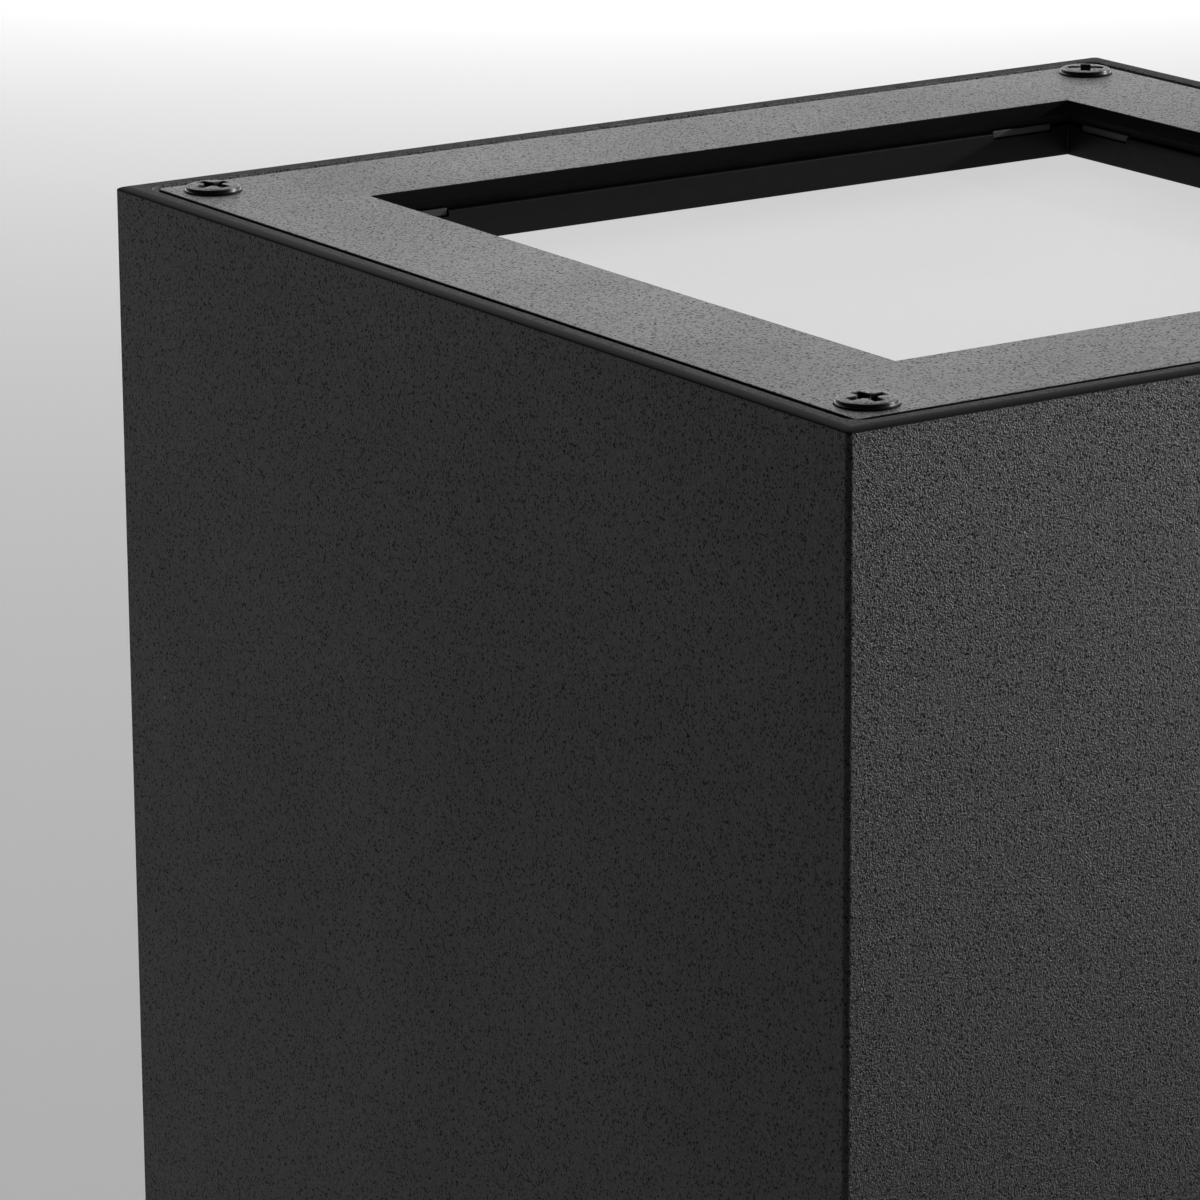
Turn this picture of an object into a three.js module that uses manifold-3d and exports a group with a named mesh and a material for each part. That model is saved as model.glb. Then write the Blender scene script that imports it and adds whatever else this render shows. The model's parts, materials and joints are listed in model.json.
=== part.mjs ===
// Outdoor wall lantern: a square powder-coated aluminium tube that lights up and down.
// A cast frame in each end carries a sunk opal pane, and a flush cover with four screws closes it.
// Millimetres, +Z up. The wall is the plane y = 0 and the lantern stands out from it along -Y.

import * as THREE from 'three';
import { mergeVertices } from 'three/addons/utils/BufferGeometryUtils.js';
import Module from 'manifold-3d';

// Driving dimensions
const BODY_WIDTH = 120;            // outer width and depth of the square body
const BODY_HEIGHT = 200;
const WALL = 2.4;                  // wall thickness of the body
const EDGE_ROUND = 0.5;            // rounding of the body's outer edges
const INNER_CORNER = 1.8;          // radius in the body's inner corners
const BASE_DEPTH = 25;             // from the wall to the body's rear face
const SEAT_GAP = 0.05;             // between two faces that rest on each other
const CUT_GAP = 0.3;               // between a piece and the hole that it sits in
const PAST = 1;                    // how far a cutting tool runs past the face that it cuts

// Cover frame, measured inwards from the body's outer faces and down from its rim
const COVER_INSET = 2.95;
const COVER_SINK = 0.1;
const COVER_THICKNESS = 1.5;
const WINDOW_INSET = 17.9;
const COVER_CORNER = 0.6;
const SCREW_INSET = 6.9;
const COUNTERSINK_PLAY = 0.12;     // between a screw head's rim and the mouth of its countersink
const COVER_SCREW_LIFT = 0.05;     // the underside of the head's rim above the cover

// Optical stack, heights and depths below the rim
const GASKET_THICKNESS = 1.0;
const GASKET_MARGIN = 0.6;         // from the gasket's edges to those of the cover and the recess
const PANE_DEPTH = 6.0;
const PANE_THICKNESS = 3.0;
const PANE_SEAL_THICKNESS = 0.8;
const LEDGE_THICKNESS = 3.0;
const PANE_HALF = 46;
const PANE_CORNER = 1;
const LEDGE_OPENING_HALF = 43;
const RECESS_OPENING_HALF = 42.6;
const POST_HALF = 46.6;            // inner faces of the corner posts
const END_FRAME_CORNER = 2.2;      // wider than the tube's inner corner, so that the frame slides in
const SLOT_LENGTH = 7.6;           // light-coloured pane clips show in slots of this size
const SLOT_HEIGHT = 0.9;
const SLOT_DEPTH = 1.2;
const SLOT_FROM_CORNER = 2.0;
const SLOT_DEPTH_BELOW_RIM = 2.4;

// Light engine
const FLANGE_HEIGHT = 55;          // outer faces of the chassis flanges, from the middle
const SHEET = 2.0;                 // sheet thickness of the chassis and the wall bracket
const CHASSIS_HALF_WIDTH = 40;
const BOARD_HALF = 33;
const BOARD_THICKNESS = 1.6;
const BOARD_CORNER = 2;
const LED_SIZE = 3.0;
const LED_HEIGHT = 0.7;
const LED_SUNK = 0.2;              // how deep a light-emitting diode sits in the board
const LED_PITCH = 12;
const LEDS_PER_SIDE = 3;
const REFLECTOR_WALL = 1.5;
const REFLECTOR_THROAT_HALF = 21;
const REFLECTOR_MOUTH_HALF = 40.5;
const REFLECTOR_DROP = 0.4;        // from the ledge's top down to the reflector's rim
const BOARD_SCREW_X = 29;
const CHASSIS_BEND = 3;            // outer bend radius
const LEAD_WAY_X = -15;            // hole in each flange for a board's lead
const LEAD_WAY_FROM_BOARD = 4.5;
const LEAD_WAY_RADIUS = 3;
const EARTH_X = -24;               // earth point on the chassis web
const EARTH_Z = -8;
const TAG_THICKNESS = 0.8;
const TAG_RADIUS = 4.5;
const TAG_BARREL_RADIUS = 1.8;

// Wall base and bracket
const BASE_HALF_WIDTH = 42;
const BASE_HALF_HEIGHT = 72;
const BASE_WALL = 2.5;
const BASE_FLOOR = 3;
const BASE_CORNER = 3;
const BUSH_RADIUS = 5;             // threaded bushes for the base screws
const BUSH_LENGTH = 9;
const BUSH_BLIND = 1.5;            // solid end of a bush, past its screw hole
const DRAIN_RADIUS = 2;
const DRAIN_Y = -6;
const BASE_SCREW_X = 30;
const BASE_SCREW_Z = 45;
const BRACKET_HALF_WIDTH = 36;
const BRACKET_HALF_HEIGHT = 62;
const BRACKET_CORNER = 4;
const BRACKET_PLAY = 0.5;          // from the bracket to the gasket round it
const FIXING_SLOT_Z = 50;
const FIXING_SLOT_X = 24;
const SLOT_HALF_WIDTH = 2.75;
const SLOT_HALF_LENGTH = 8;
const CABLE_HOLE_Z = -28;
const CABLE_HOLE_RADIUS = 10;
const MEMBRANE_BORE = 3.5;         // radius
const MEMBRANE_FLANGE = 3;         // how far its flange reaches past the hole
const EAR_HALF_HEIGHT = 8;
const EAR_DEPTH = 14;
const SET_SCREW_Y = -9;
const GROMMET_X = -24;
const GROMMET_Z = 30;
const GROMMET_HOLE_RADIUS = 8;
const GROMMET_BORE = 4.5;          // radius
const GROMMET_FLANGE = 2.5;
const GROMMET_LIP = 1.5;

// Supply terminal: three poles, each with a lever that turns about X at its upper end
const POLE_PITCH = 6.2;
const TERMINAL_HALF_WIDTH = 9.7;
const TERMINAL_BOTTOM = 0;
const TERMINAL_TOP = 22;
const TERMINAL_THICKNESS = 8.5;
const LEVER_WIDTH = 4.4;
const LEVER_THICKNESS = 2.3;
const LEVER_LENGTH = 11.4;
const LEVER_PIVOT_Z = 13;
const LEVER_SLOT_WIDTH = 5.0;
const LEVER_SLOT_TOP = 15.5;
const LEVER_LIP = 0.8;             // how far the thumb lip stands out
const TERMINAL_WIRE_DEPTH = 3;     // from the terminal's foot to the middle of a wire

// Driver and its strap
const DRIVER_SIZE = new THREE.Vector3(42, 23, 72);
const DRIVER_CENTRE_X = 15;
const DRIVER_CORNER = 2;
const GROOVE_WIDTH = 1;
const GROOVE_DEPTH = 0.8;
const GROOVE_FROM_END = 8;
const ENTRY_OFFSETS = [-10, -3];   // lead entries at each end of the driver, from its middle
const ENTRY_DEPTH = 12;            // and from its back
const ENTRY_REACH = 4;
const STRAP_SHEET = 1.2;
const STRAP_HALF_WIDTH = 8;
const STRAP_FOOT = 12;
const WIRE_RADIUS = 0.95;
const LEAD_HOLE_RADIUS = 1.5;      // holes that a lead enters with some play

// Screws: shank radius, head radius, head height
const M3_RAISED = { shank: 1.5, head: 2.72, headHeight: 0.65 };
const M3_PAN = { shank: 1.5, head: 2.75, headHeight: 1.9 };
const M4_PAN = { shank: 2.0, head: 3.8, headHeight: 2.6 };
const COVER_SCREW_LENGTH = 11;
const BOARD_SCREW_LENGTH = 6;
const BASE_SCREW_LENGTH = 13;
const LOCKING_SCREW_LENGTH = 10;
const EARTH_SCREW_LENGTH = 2.6;
const SCREW_TURNS = [22, 68, 12, 50];   // degrees that the cross of each screw in a set is turned by
const CROSS_WIDTH = 0.85;
const CROSS_REACH = 0.66;          // share of the head's radius
const TIP_SHARE = 0.8;             // a shank's tip, as a share of its radius
const TIP_LENGTH = 0.6;
const RAISED_RIM = 0.2;            // height of a raised head's straight rim
const RAISED_CROSS_DEPTH = 1.5;

const ROUND_STEPS = 12;            // facets around holes and bars
const TURNED_STEPS = 12;           // facets around screws and bushes

// Worked out from the driving dimensions
const HALF = BODY_WIDTH / 2;
const RIM = BODY_HEIGHT / 2;
const INNER_HALF = HALF - WALL;
const END_FRAME_HALF = INNER_HALF - SEAT_GAP;
const REAR_FACE_Y = -BASE_DEPTH;
const BODY_Y = REAR_FACE_Y - HALF;
const REAR_INNER_Y = REAR_FACE_Y - WALL;
const COVER_TOP = RIM - COVER_SINK;
const COVER_UNDER = COVER_TOP - COVER_THICKNESS;
const GASKET_TOP = COVER_UNDER - SEAT_GAP;
const POST_TOP = GASKET_TOP - GASKET_THICKNESS - SEAT_GAP;
const PANE_TOP = RIM - PANE_DEPTH;
const PANE_UNDER = PANE_TOP - PANE_THICKNESS;
const SEAL_TOP = PANE_UNDER - SEAT_GAP;
const LEDGE_TOP = SEAL_TOP - PANE_SEAL_THICKNESS - SEAT_GAP;
const LEDGE_UNDER = LEDGE_TOP - LEDGE_THICKNESS;
const SCREW_OFFSET = HALF - SCREW_INSET;
const BOARD_UNDER = FLANGE_HEIGHT + SEAT_GAP;
const BOARD_TOP = BOARD_UNDER + BOARD_THICKNESS;
const FOOT_UNDER = BOARD_TOP + SEAT_GAP;
const FOOT_TOP = FOOT_UNDER + REFLECTOR_WALL;
const WEB_REAR_Y = REAR_INNER_Y - SEAT_GAP;
const WEB_FRONT_Y = WEB_REAR_Y - SHEET;
const LEAD_WAY_Y = BODY_Y + BOARD_HALF + LEAD_WAY_FROM_BOARD;
const TAG_REAR_Y = WEB_FRONT_Y - SEAT_GAP;
const TAG_FRONT_Y = TAG_REAR_Y - TAG_THICKNESS;
const DRIVER_REAR_Y = WEB_FRONT_Y - SEAT_GAP;
const DRIVER_FRONT_Y = DRIVER_REAR_Y - DRIVER_SIZE.y;
const DRIVER_END = DRIVER_SIZE.z / 2;
const DRIVER_LEFT_X = DRIVER_CENTRE_X - DRIVER_SIZE.x / 2;
const DRIVER_RIGHT_X = DRIVER_CENTRE_X + DRIVER_SIZE.x / 2;
const BASE_FRONT_Y = REAR_FACE_Y + SEAT_GAP;
const BASE_FLOOR_Y = BASE_FRONT_Y + BASE_FLOOR;
const BASE_REAR_Y = -SHEET - SEAT_GAP;
const TERMINAL_FLOOR_Y = BASE_FLOOR_Y + SEAT_GAP;
const TERMINAL_FACE_Y = TERMINAL_FLOOR_Y + TERMINAL_THICKNESS;
const TERMINAL_WIRE_Y = TERMINAL_FLOOR_Y + TERMINAL_WIRE_DEPTH;
const LEVER_PIVOT_Y = TERMINAL_FACE_Y - LEVER_THICKNESS / 2;
const POLES = [
  { name: 'live', x: -POLE_PITCH },
  { name: 'neutral', x: 0 },
  { name: 'earth', x: POLE_PITCH },
];

const wasm = await Module();
wasm.setup();

// Materials
const finish = (color, roughness, metalness) => ({ color, roughness, metalness });
const POWDER_COAT = finish(0x26272a, 0.6, 0.1);
const STEEL = finish(0x8f9296, 0.35, 0.9);
const BLACK_STEEL = finish(0x2c2d30, 0.45, 0.5);
const BLACK_RUBBER = finish(0x151515, 0.85, 0);
const BLACK_PLASTIC = finish(0x1b1b1c, 0.55, 0);
const OPAL = finish(0xe9e9e6, 0.5, 0);
const WHITE_PLASTIC = finish(0xe8e8e4, 0.45, 0);
const GREY_PLASTIC = finish(0xb9bcbe, 0.5, 0);
const ALUMINIUM = finish(0xb4b7ba, 0.45, 0.85);
const BOARD_WHITE = finish(0xf0f1ee, 0.5, 0);
const LEVER_ORANGE = finish(0xd97a1c, 0.45, 0);
const WIRE_COLOURS = {
  live: finish(0x6b3a1e, 0.5, 0),
  neutral: finish(0x2c5f9e, 0.5, 0),
  earth: finish(0x6f9a2c, 0.5, 0),
  red: finish(0x9e2620, 0.5, 0),
};

// A closed geometry as a manifold solid, and back
function solidOf(geometry) {
  const bare = geometry.index ? geometry.toNonIndexed() : geometry.clone();
  bare.deleteAttribute('normal');
  bare.deleteAttribute('uv');
  const merged = mergeVertices(bare, 1e-4);
  return new wasm.Manifold(new wasm.Mesh({
    numProp: 3,
    vertProperties: merged.attributes.position.array,
    triVerts: new Uint32Array(merged.index.array),
  }));
}

function geometryOf(solid) {
  const mesh = solid.getMesh();
  const geometry = new THREE.BufferGeometry();
  geometry.setAttribute('position', new THREE.BufferAttribute(new Float32Array(mesh.vertProperties), 3));
  geometry.setIndex(new THREE.BufferAttribute(new Uint32Array(mesh.triVerts), 1));
  const flat = geometry.toNonIndexed();
  flat.computeVertexNormals();
  return flat;
}

const joined = (first, ...others) => others.reduce((all, one) => all.add(one), first);
const without = (solid, ...tools) => tools.reduce((left, tool) => left.subtract(tool), solid);
const moved = (solid, x, y, z) => solid.translate([x, y, z]);
const ordered = (a, b) => [Math.min(a, b), Math.max(a, b)];

// Outlines
function rectangle(x0, x1, y0, y1, corner = 0) {
  const shape = new THREE.Shape();
  if (corner === 0) {
    shape.moveTo(x0, y0);
    shape.lineTo(x1, y0);
    shape.lineTo(x1, y1);
    shape.lineTo(x0, y1);
    shape.closePath();
    return shape;
  }
  shape.absarc(x1 - corner, y0 + corner, corner, -Math.PI / 2, 0);
  shape.absarc(x1 - corner, y1 - corner, corner, 0, Math.PI / 2);
  shape.absarc(x0 + corner, y1 - corner, corner, Math.PI / 2, Math.PI);
  shape.absarc(x0 + corner, y0 + corner, corner, Math.PI, Math.PI * 1.5);
  shape.closePath();
  return shape;
}

const square = (half, corner = 0) => rectangle(-half, half, -half, half, corner);

function disc(x, y, radius) {
  const shape = new THREE.Shape();
  shape.absarc(x, y, radius, 0, Math.PI * 2);
  return shape;
}

// An outline drawn in (x, y), (y, z) or (x, z), made solid between two places on the third axis.
// The (x, z) outline is laid out along -Y, so it keeps its handedness.
const LAYOUT = {
  z: new THREE.Matrix4(),
  x: new THREE.Matrix4().makeBasis(
    new THREE.Vector3(0, 1, 0), new THREE.Vector3(0, 0, 1), new THREE.Vector3(1, 0, 0)),
  y: new THREE.Matrix4().makeBasis(
    new THREE.Vector3(1, 0, 0), new THREE.Vector3(0, 0, 1), new THREE.Vector3(0, -1, 0)),
};

function prism(shape, axis, from, to, curveSegments = 3) {
  const depth = to - from;
  const geometry = new THREE.ExtrudeGeometry(shape, { depth, bevelEnabled: false, curveSegments });
  const start = axis === 'y' ? -to : from;
  geometry.translate(0, 0, start);
  geometry.applyMatrix4(LAYOUT[axis]);
  return solidOf(geometry);
}

const block = (x0, x1, y0, y1, z0, z1) => prism(rectangle(x0, x1, y0, y1), 'z', z0, z1);

// A round bar along an axis; centre gives the two other coordinates, in the order of the outlines above
const bar = (axis, centre, radius, from, to) =>
  prism(disc(centre[0], centre[1], radius), axis, from, to, ROUND_STEPS / 2);

// A body of revolution about Z from (radius, height) points that start and end on the axis, bottom first
function turned(points) {
  const profile = points.map(([radius, height]) => new THREE.Vector2(radius, height));
  const geometry = new THREE.LatheGeometry(profile, TURNED_STEPS);
  geometry.rotateX(Math.PI / 2);
  return solidOf(geometry);
}

// A square funnel between two heights: half widths at its lower and upper end
function squareFunnel(lowerHalf, upperHalf, z0, z1) {
  const geometry = new THREE.CylinderGeometry(
    upperHalf * Math.SQRT2, lowerHalf * Math.SQRT2, z1 - z0, 4, 1);
  geometry.rotateY(Math.PI / 4);
  geometry.rotateX(Math.PI / 2);
  geometry.translate(0, 0, (z0 + z1) / 2);
  return solidOf(geometry);
}

// The four places (x, y) at one distance from the body's axis, and the four base screws' (x, z)
const corners = (distance) => [
  [-distance, -distance],
  [distance, -distance],
  [-distance, distance],
  [distance, distance],
];

const BASE_SCREW_PLACES = [
  [-BASE_SCREW_X, -BASE_SCREW_Z],
  [BASE_SCREW_X, -BASE_SCREW_Z],
  [-BASE_SCREW_X, BASE_SCREW_Z],
  [BASE_SCREW_X, BASE_SCREW_Z],
];

// Screws point their heads along +Z, with the underside of the head's rim at z = 0.
// The cross has two arms that narrow towards the bottom of the recess.
function crossRecess(headRadius, top, depth, turn) {
  const reach = headRadius * CROSS_REACH;
  const narrowing = 0.5;
  const wedge = squareFunnel(reach * narrowing, reach, top - depth, top + CROSS_WIDTH / 8);
  const arm = wedge.scale([1, CROSS_WIDTH / (2 * reach), 1]);
  const cross = arm.add(arm.rotate([0, 0, 90]));
  return cross.rotate([0, 0, turn]);
}

const shankTip = (size, length) => [
  [0, -length],
  [size.shank * TIP_SHARE, -length],
  [size.shank, TIP_LENGTH - length],
];

function raisedHeadScrew(size, length, turn) {
  const crown = size.headHeight - RAISED_RIM;
  const sphere = (size.head ** 2 + crown ** 2) / (2 * crown);
  const profile = shankTip(size, length);
  profile.push([size.shank, size.shank - size.head], [size.head, 0], [size.head, RAISED_RIM]);
  for (const share of [0.8, 0.45]) {
    const radius = size.head * share;
    profile.push([radius, size.headHeight - sphere + Math.sqrt(sphere ** 2 - radius ** 2)]);
  }
  profile.push([0, size.headHeight]);
  return without(turned(profile), crossRecess(size.head, size.headHeight, RAISED_CROSS_DEPTH, turn));
}

function panHeadScrew(size, length, turn) {
  const shoulder = size.headHeight * 0.62;
  const crossDepth = size.headHeight * 0.6;
  const profile = shankTip(size, length);
  profile.push([size.shank, 0], [size.head, 0], [size.head, shoulder]);
  profile.push([size.head * 0.78, size.headHeight * 0.92], [0, size.headHeight]);
  return without(turned(profile), crossRecess(size.head, size.headHeight, crossDepth, turn));
}

// Body: an extruded square tube with rounded rims and a holed rear wall
function bodyTube() {
  const outline = square(HALF - EDGE_ROUND, EDGE_ROUND);
  const outerGeometry = new THREE.ExtrudeGeometry(outline, {
    depth: BODY_HEIGHT - 2 * EDGE_ROUND,
    bevelThickness: EDGE_ROUND,
    bevelSize: EDGE_ROUND,
    bevelSegments: 1,
    curveSegments: 2,
  });
  outerGeometry.translate(0, BODY_Y, EDGE_ROUND - RIM);
  const inside = prism(square(INNER_HALF, INNER_CORNER), 'z', -RIM - PAST, RIM + PAST);
  const throughRear = (x, z, radius) => bar('y', [x, z], radius, REAR_INNER_Y - PAST, REAR_FACE_Y + PAST);
  const screwHoles = BASE_SCREW_PLACES.map(([x, z]) => throughRear(x, z, M4_PAN.shank + CUT_GAP));
  const cableWay = throughRear(GROMMET_X, GROMMET_Z, GROMMET_HOLE_RADIUS);
  return without(solidOf(outerGeometry), moved(inside, 0, BODY_Y, 0), cableWay, ...screwHoles);
}

// Pieces of one end, built about the body's axis with +Z out of that end.
// The end frame is a casting that is pressed into the tube: a ledge for the pane and four screw posts.
function endFrame() {
  const reach = END_FRAME_HALF + PAST;
  const filled = prism(square(END_FRAME_HALF, END_FRAME_CORNER), 'z', LEDGE_UNDER, POST_TOP);
  const lightWay = prism(square(LEDGE_OPENING_HALF, INNER_CORNER), 'z', LEDGE_UNDER - PAST, POST_TOP);
  const betweenPosts = joined(
    block(-reach, reach, -POST_HALF, POST_HALF, LEDGE_TOP, POST_TOP + PAST),
    block(-POST_HALF, POST_HALF, -reach, reach, LEDGE_TOP, POST_TOP + PAST));
  const holes = coverScrewHoles(LEDGE_UNDER - PAST, POST_TOP + PAST);
  return without(filled, lightWay, betweenPosts, ...holes);
}

const coverScrewHoles = (from, to) => corners(SCREW_OFFSET).map(([x, y]) =>
  bar('z', [x, y], M3_RAISED.shank + CUT_GAP, from, to));

function coverFrame() {
  const outline = square(HALF - COVER_INSET, COVER_CORNER);
  outline.holes.push(square(HALF - WINDOW_INSET));
  const plate = prism(outline, 'z', COVER_UNDER, COVER_TOP);
  const sinks = corners(SCREW_OFFSET).map(([x, y]) => moved(countersink(), x, y, 0));
  return without(plate, ...sinks);
}

function countersink() {
  const mouth = M3_RAISED.head + COUNTERSINK_PLAY;
  const throat = M3_RAISED.shank + CUT_GAP;
  return turned([
    [0, COVER_UNDER - PAST],
    [throat, COVER_UNDER - PAST],
    [throat, COVER_TOP - (mouth - throat)],
    [mouth, COVER_TOP],
    [mouth, COVER_TOP + PAST],
    [0, COVER_TOP + PAST],
  ]);
}

function coverGasket() {
  const outline = square(HALF - COVER_INSET - GASKET_MARGIN, COVER_CORNER);
  outline.holes.push(square(RECESS_OPENING_HALF + GASKET_MARGIN));
  const sheet = prism(outline, 'z', GASKET_TOP - GASKET_THICKNESS, GASKET_TOP);
  return without(sheet, ...coverScrewHoles(POST_TOP - PAST, COVER_UNDER + PAST));
}

// Dark frame round the sunk pane. The clips that hold the pane show in its eight slots.
function recessFrame() {
  const outline = square(PANE_HALF);
  outline.holes.push(square(RECESS_OPENING_HALF));
  const frame = prism(outline, 'z', PANE_TOP + SEAT_GAP, POST_TOP);
  const slotTop = RIM - SLOT_DEPTH_BELOW_RIM;
  const slotBottom = slotTop - SLOT_HEIGHT;
  const far = RECESS_OPENING_HALF - SLOT_FROM_CORNER;
  const slots = [];
  for (const side of [1, -1]) {
    const mouth = side * (RECESS_OPENING_HALF - PAST);
    const floor = side * (RECESS_OPENING_HALF + SLOT_DEPTH);
    const [in0, in1] = ordered(mouth, floor);
    for (const end of [1, -1]) {
      const [along0, along1] = ordered(end * (far - SLOT_LENGTH), end * far);
      slots.push(block(in0, in1, along0, along1, slotBottom, slotTop));
      slots.push(block(along0, along1, in0, in1, slotBottom, slotTop));
    }
  }
  return without(frame, ...slots);
}

function pane() {
  return prism(square(PANE_HALF, PANE_CORNER), 'z', PANE_UNDER, PANE_TOP);
}

function paneSeal() {
  const outline = square(PANE_HALF, PANE_CORNER);
  outline.holes.push(square(LEDGE_OPENING_HALF, PANE_CORNER));
  return prism(outline, 'z', SEAL_TOP - PANE_SEAL_THICKNESS, SEAL_TOP);
}

const boardScrewHoles = (from, to) => [-BOARD_SCREW_X, BOARD_SCREW_X].map((x) =>
  bar('z', [x, 0], M3_PAN.shank + CUT_GAP, from, to));

function ledBoard() {
  const first = -LED_PITCH * (LEDS_PER_SIDE - 1) / 2;
  const reach = LED_SIZE / 2;
  let board = prism(square(BOARD_HALF, BOARD_CORNER), 'z', BOARD_UNDER, BOARD_TOP);
  for (let row = 0; row < LEDS_PER_SIDE; row += 1) {
    for (let column = 0; column < LEDS_PER_SIDE; column += 1) {
      const x = first + column * LED_PITCH;
      const y = first + row * LED_PITCH;
      const outline = rectangle(x - reach, x + reach, y - reach, y + reach);
      board = board.add(prism(outline, 'z', BOARD_TOP - LED_SUNK, BOARD_TOP + LED_HEIGHT));
    }
  }
  return without(board, ...boardScrewHoles(BOARD_UNDER - PAST, BOARD_TOP + PAST));
}

// Square light well on a foot that covers the board. The two short prisms clear its throat and mouth.
function reflector() {
  const mouth = LEDGE_TOP - REFLECTOR_DROP;
  const throatOuter = REFLECTOR_THROAT_HALF + REFLECTOR_WALL;
  const mouthOuter = REFLECTOR_MOUTH_HALF + REFLECTOR_WALL;
  const well = squareFunnel(throatOuter, mouthOuter, FOOT_UNDER, mouth);
  const foot = prism(square(BOARD_HALF, BOARD_CORNER), 'z', FOOT_UNDER, FOOT_TOP);
  const light = squareFunnel(REFLECTOR_THROAT_HALF, REFLECTOR_MOUTH_HALF, FOOT_UNDER, mouth);
  const throatClear = prism(square(REFLECTOR_THROAT_HALF), 'z', FOOT_UNDER - PAST, FOOT_UNDER + LED_SUNK);
  const mouthClear = prism(square(REFLECTOR_MOUTH_HALF), 'z', mouth - SEAT_GAP, mouth + PAST);
  const holes = boardScrewHoles(FOOT_UNDER - PAST, FOOT_TOP + PAST);
  return without(joined(well, foot), light, throatClear, mouthClear, ...holes);
}

// Chassis: sheet bent to a C, its web on the body's rear wall and a flange for each board
function chassis() {
  const inner = CHASSIS_BEND - SHEET;
  const front = BODY_Y - CHASSIS_HALF_WIDTH;
  const bendY = WEB_REAR_Y - CHASSIS_BEND;
  const bendZ = FLANGE_HEIGHT - CHASSIS_BEND;
  const shape = new THREE.Shape();
  shape.moveTo(front, FLANGE_HEIGHT - SHEET);
  shape.lineTo(bendY, FLANGE_HEIGHT - SHEET);
  shape.absarc(bendY, bendZ, inner, Math.PI / 2, 0, true);
  shape.lineTo(WEB_FRONT_Y, -bendZ);
  shape.absarc(bendY, -bendZ, inner, 0, -Math.PI / 2, true);
  shape.lineTo(front, SHEET - FLANGE_HEIGHT);
  shape.lineTo(front, -FLANGE_HEIGHT);
  shape.lineTo(bendY, -FLANGE_HEIGHT);
  shape.absarc(bendY, -bendZ, CHASSIS_BEND, -Math.PI / 2, 0);
  shape.lineTo(WEB_REAR_Y, bendZ);
  shape.absarc(bendY, bendZ, CHASSIS_BEND, 0, Math.PI / 2);
  shape.lineTo(front, FLANGE_HEIGHT);
  shape.closePath();
  const sheet = prism(shape, 'x', -CHASSIS_HALF_WIDTH, CHASSIS_HALF_WIDTH, 4);
  const throughWeb = (x, z, radius) => bar('y', [x, z], radius, WEB_FRONT_Y - PAST, WEB_REAR_Y + PAST);
  const throughFlanges = (x, y, radius) =>
    bar('z', [x, y], radius, -FLANGE_HEIGHT - PAST, FLANGE_HEIGHT + PAST);
  return without(
    sheet,
    throughWeb(GROMMET_X, GROMMET_Z, GROMMET_HOLE_RADIUS + PAST),
    throughWeb(EARTH_X, EARTH_Z, M4_PAN.shank + CUT_GAP),
    throughFlanges(LEAD_WAY_X, LEAD_WAY_Y, LEAD_WAY_RADIUS),
    ...BASE_SCREW_PLACES.map(([x, z]) => throughWeb(x, z, M4_PAN.shank + CUT_GAP)),
    ...[-BOARD_SCREW_X, BOARD_SCREW_X].map((x) => throughFlanges(x, BODY_Y, M3_PAN.shank + CUT_GAP)));
}

// Where leads enter the driver, the same at both of its ends
const DRIVER_ENTRIES = ENTRY_OFFSETS.map((offset) => [DRIVER_CENTRE_X + offset, DRIVER_REAR_Y - ENTRY_DEPTH]);

// A potted box with a groove near each end, where its lid is glued on
function ledDriver() {
  const outline = rectangle(DRIVER_LEFT_X, DRIVER_RIGHT_X, DRIVER_FRONT_Y, DRIVER_REAR_Y, DRIVER_CORNER);
  const box = prism(outline, 'z', -DRIVER_END, DRIVER_END);
  const tools = [];
  for (const end of [1, -1]) {
    const grooveEnd = DRIVER_END - GROOVE_FROM_END;
    const groove = ordered(end * grooveEnd, end * (grooveEnd - GROOVE_WIDTH));
    const [left, right] = [DRIVER_LEFT_X - PAST, DRIVER_RIGHT_X + PAST];
    tools.push(block(left, right, DRIVER_FRONT_Y - PAST, DRIVER_FRONT_Y + GROOVE_DEPTH, ...groove));
    const entry = ordered(end * (DRIVER_END - ENTRY_REACH), end * (DRIVER_END + PAST));
    DRIVER_ENTRIES.forEach((place) => tools.push(bar('z', place, LEAD_HOLE_RADIUS, ...entry)));
  }
  return without(box, ...tools);
}

// A saddle of sheet steel that holds the driver against the web
function driverStrap() {
  const heights = [-STRAP_HALF_WIDTH, STRAP_HALF_WIDTH];
  const left = DRIVER_LEFT_X - CUT_GAP;
  const right = DRIVER_RIGHT_X + CUT_GAP;
  const front = DRIVER_FRONT_Y - CUT_GAP;
  const over = block(left - STRAP_SHEET, right + STRAP_SHEET, front - STRAP_SHEET, front, ...heights);
  const leftLeg = block(left - STRAP_SHEET, left, front - STRAP_SHEET, DRIVER_REAR_Y, ...heights);
  const rightLeg = block(right, right + STRAP_SHEET, front - STRAP_SHEET, DRIVER_REAR_Y, ...heights);
  const foot = block(left - STRAP_FOOT, left, DRIVER_REAR_Y - STRAP_SHEET, DRIVER_REAR_Y, ...heights);
  return joined(over, leftLeg, rightLeg, foot);
}

// A rectangle in (x, z) about the middle of the wall side
const wallOutline = (halfWidth, halfHeight, corner) =>
  rectangle(-halfWidth, halfWidth, -halfHeight, halfHeight, corner);

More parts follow.
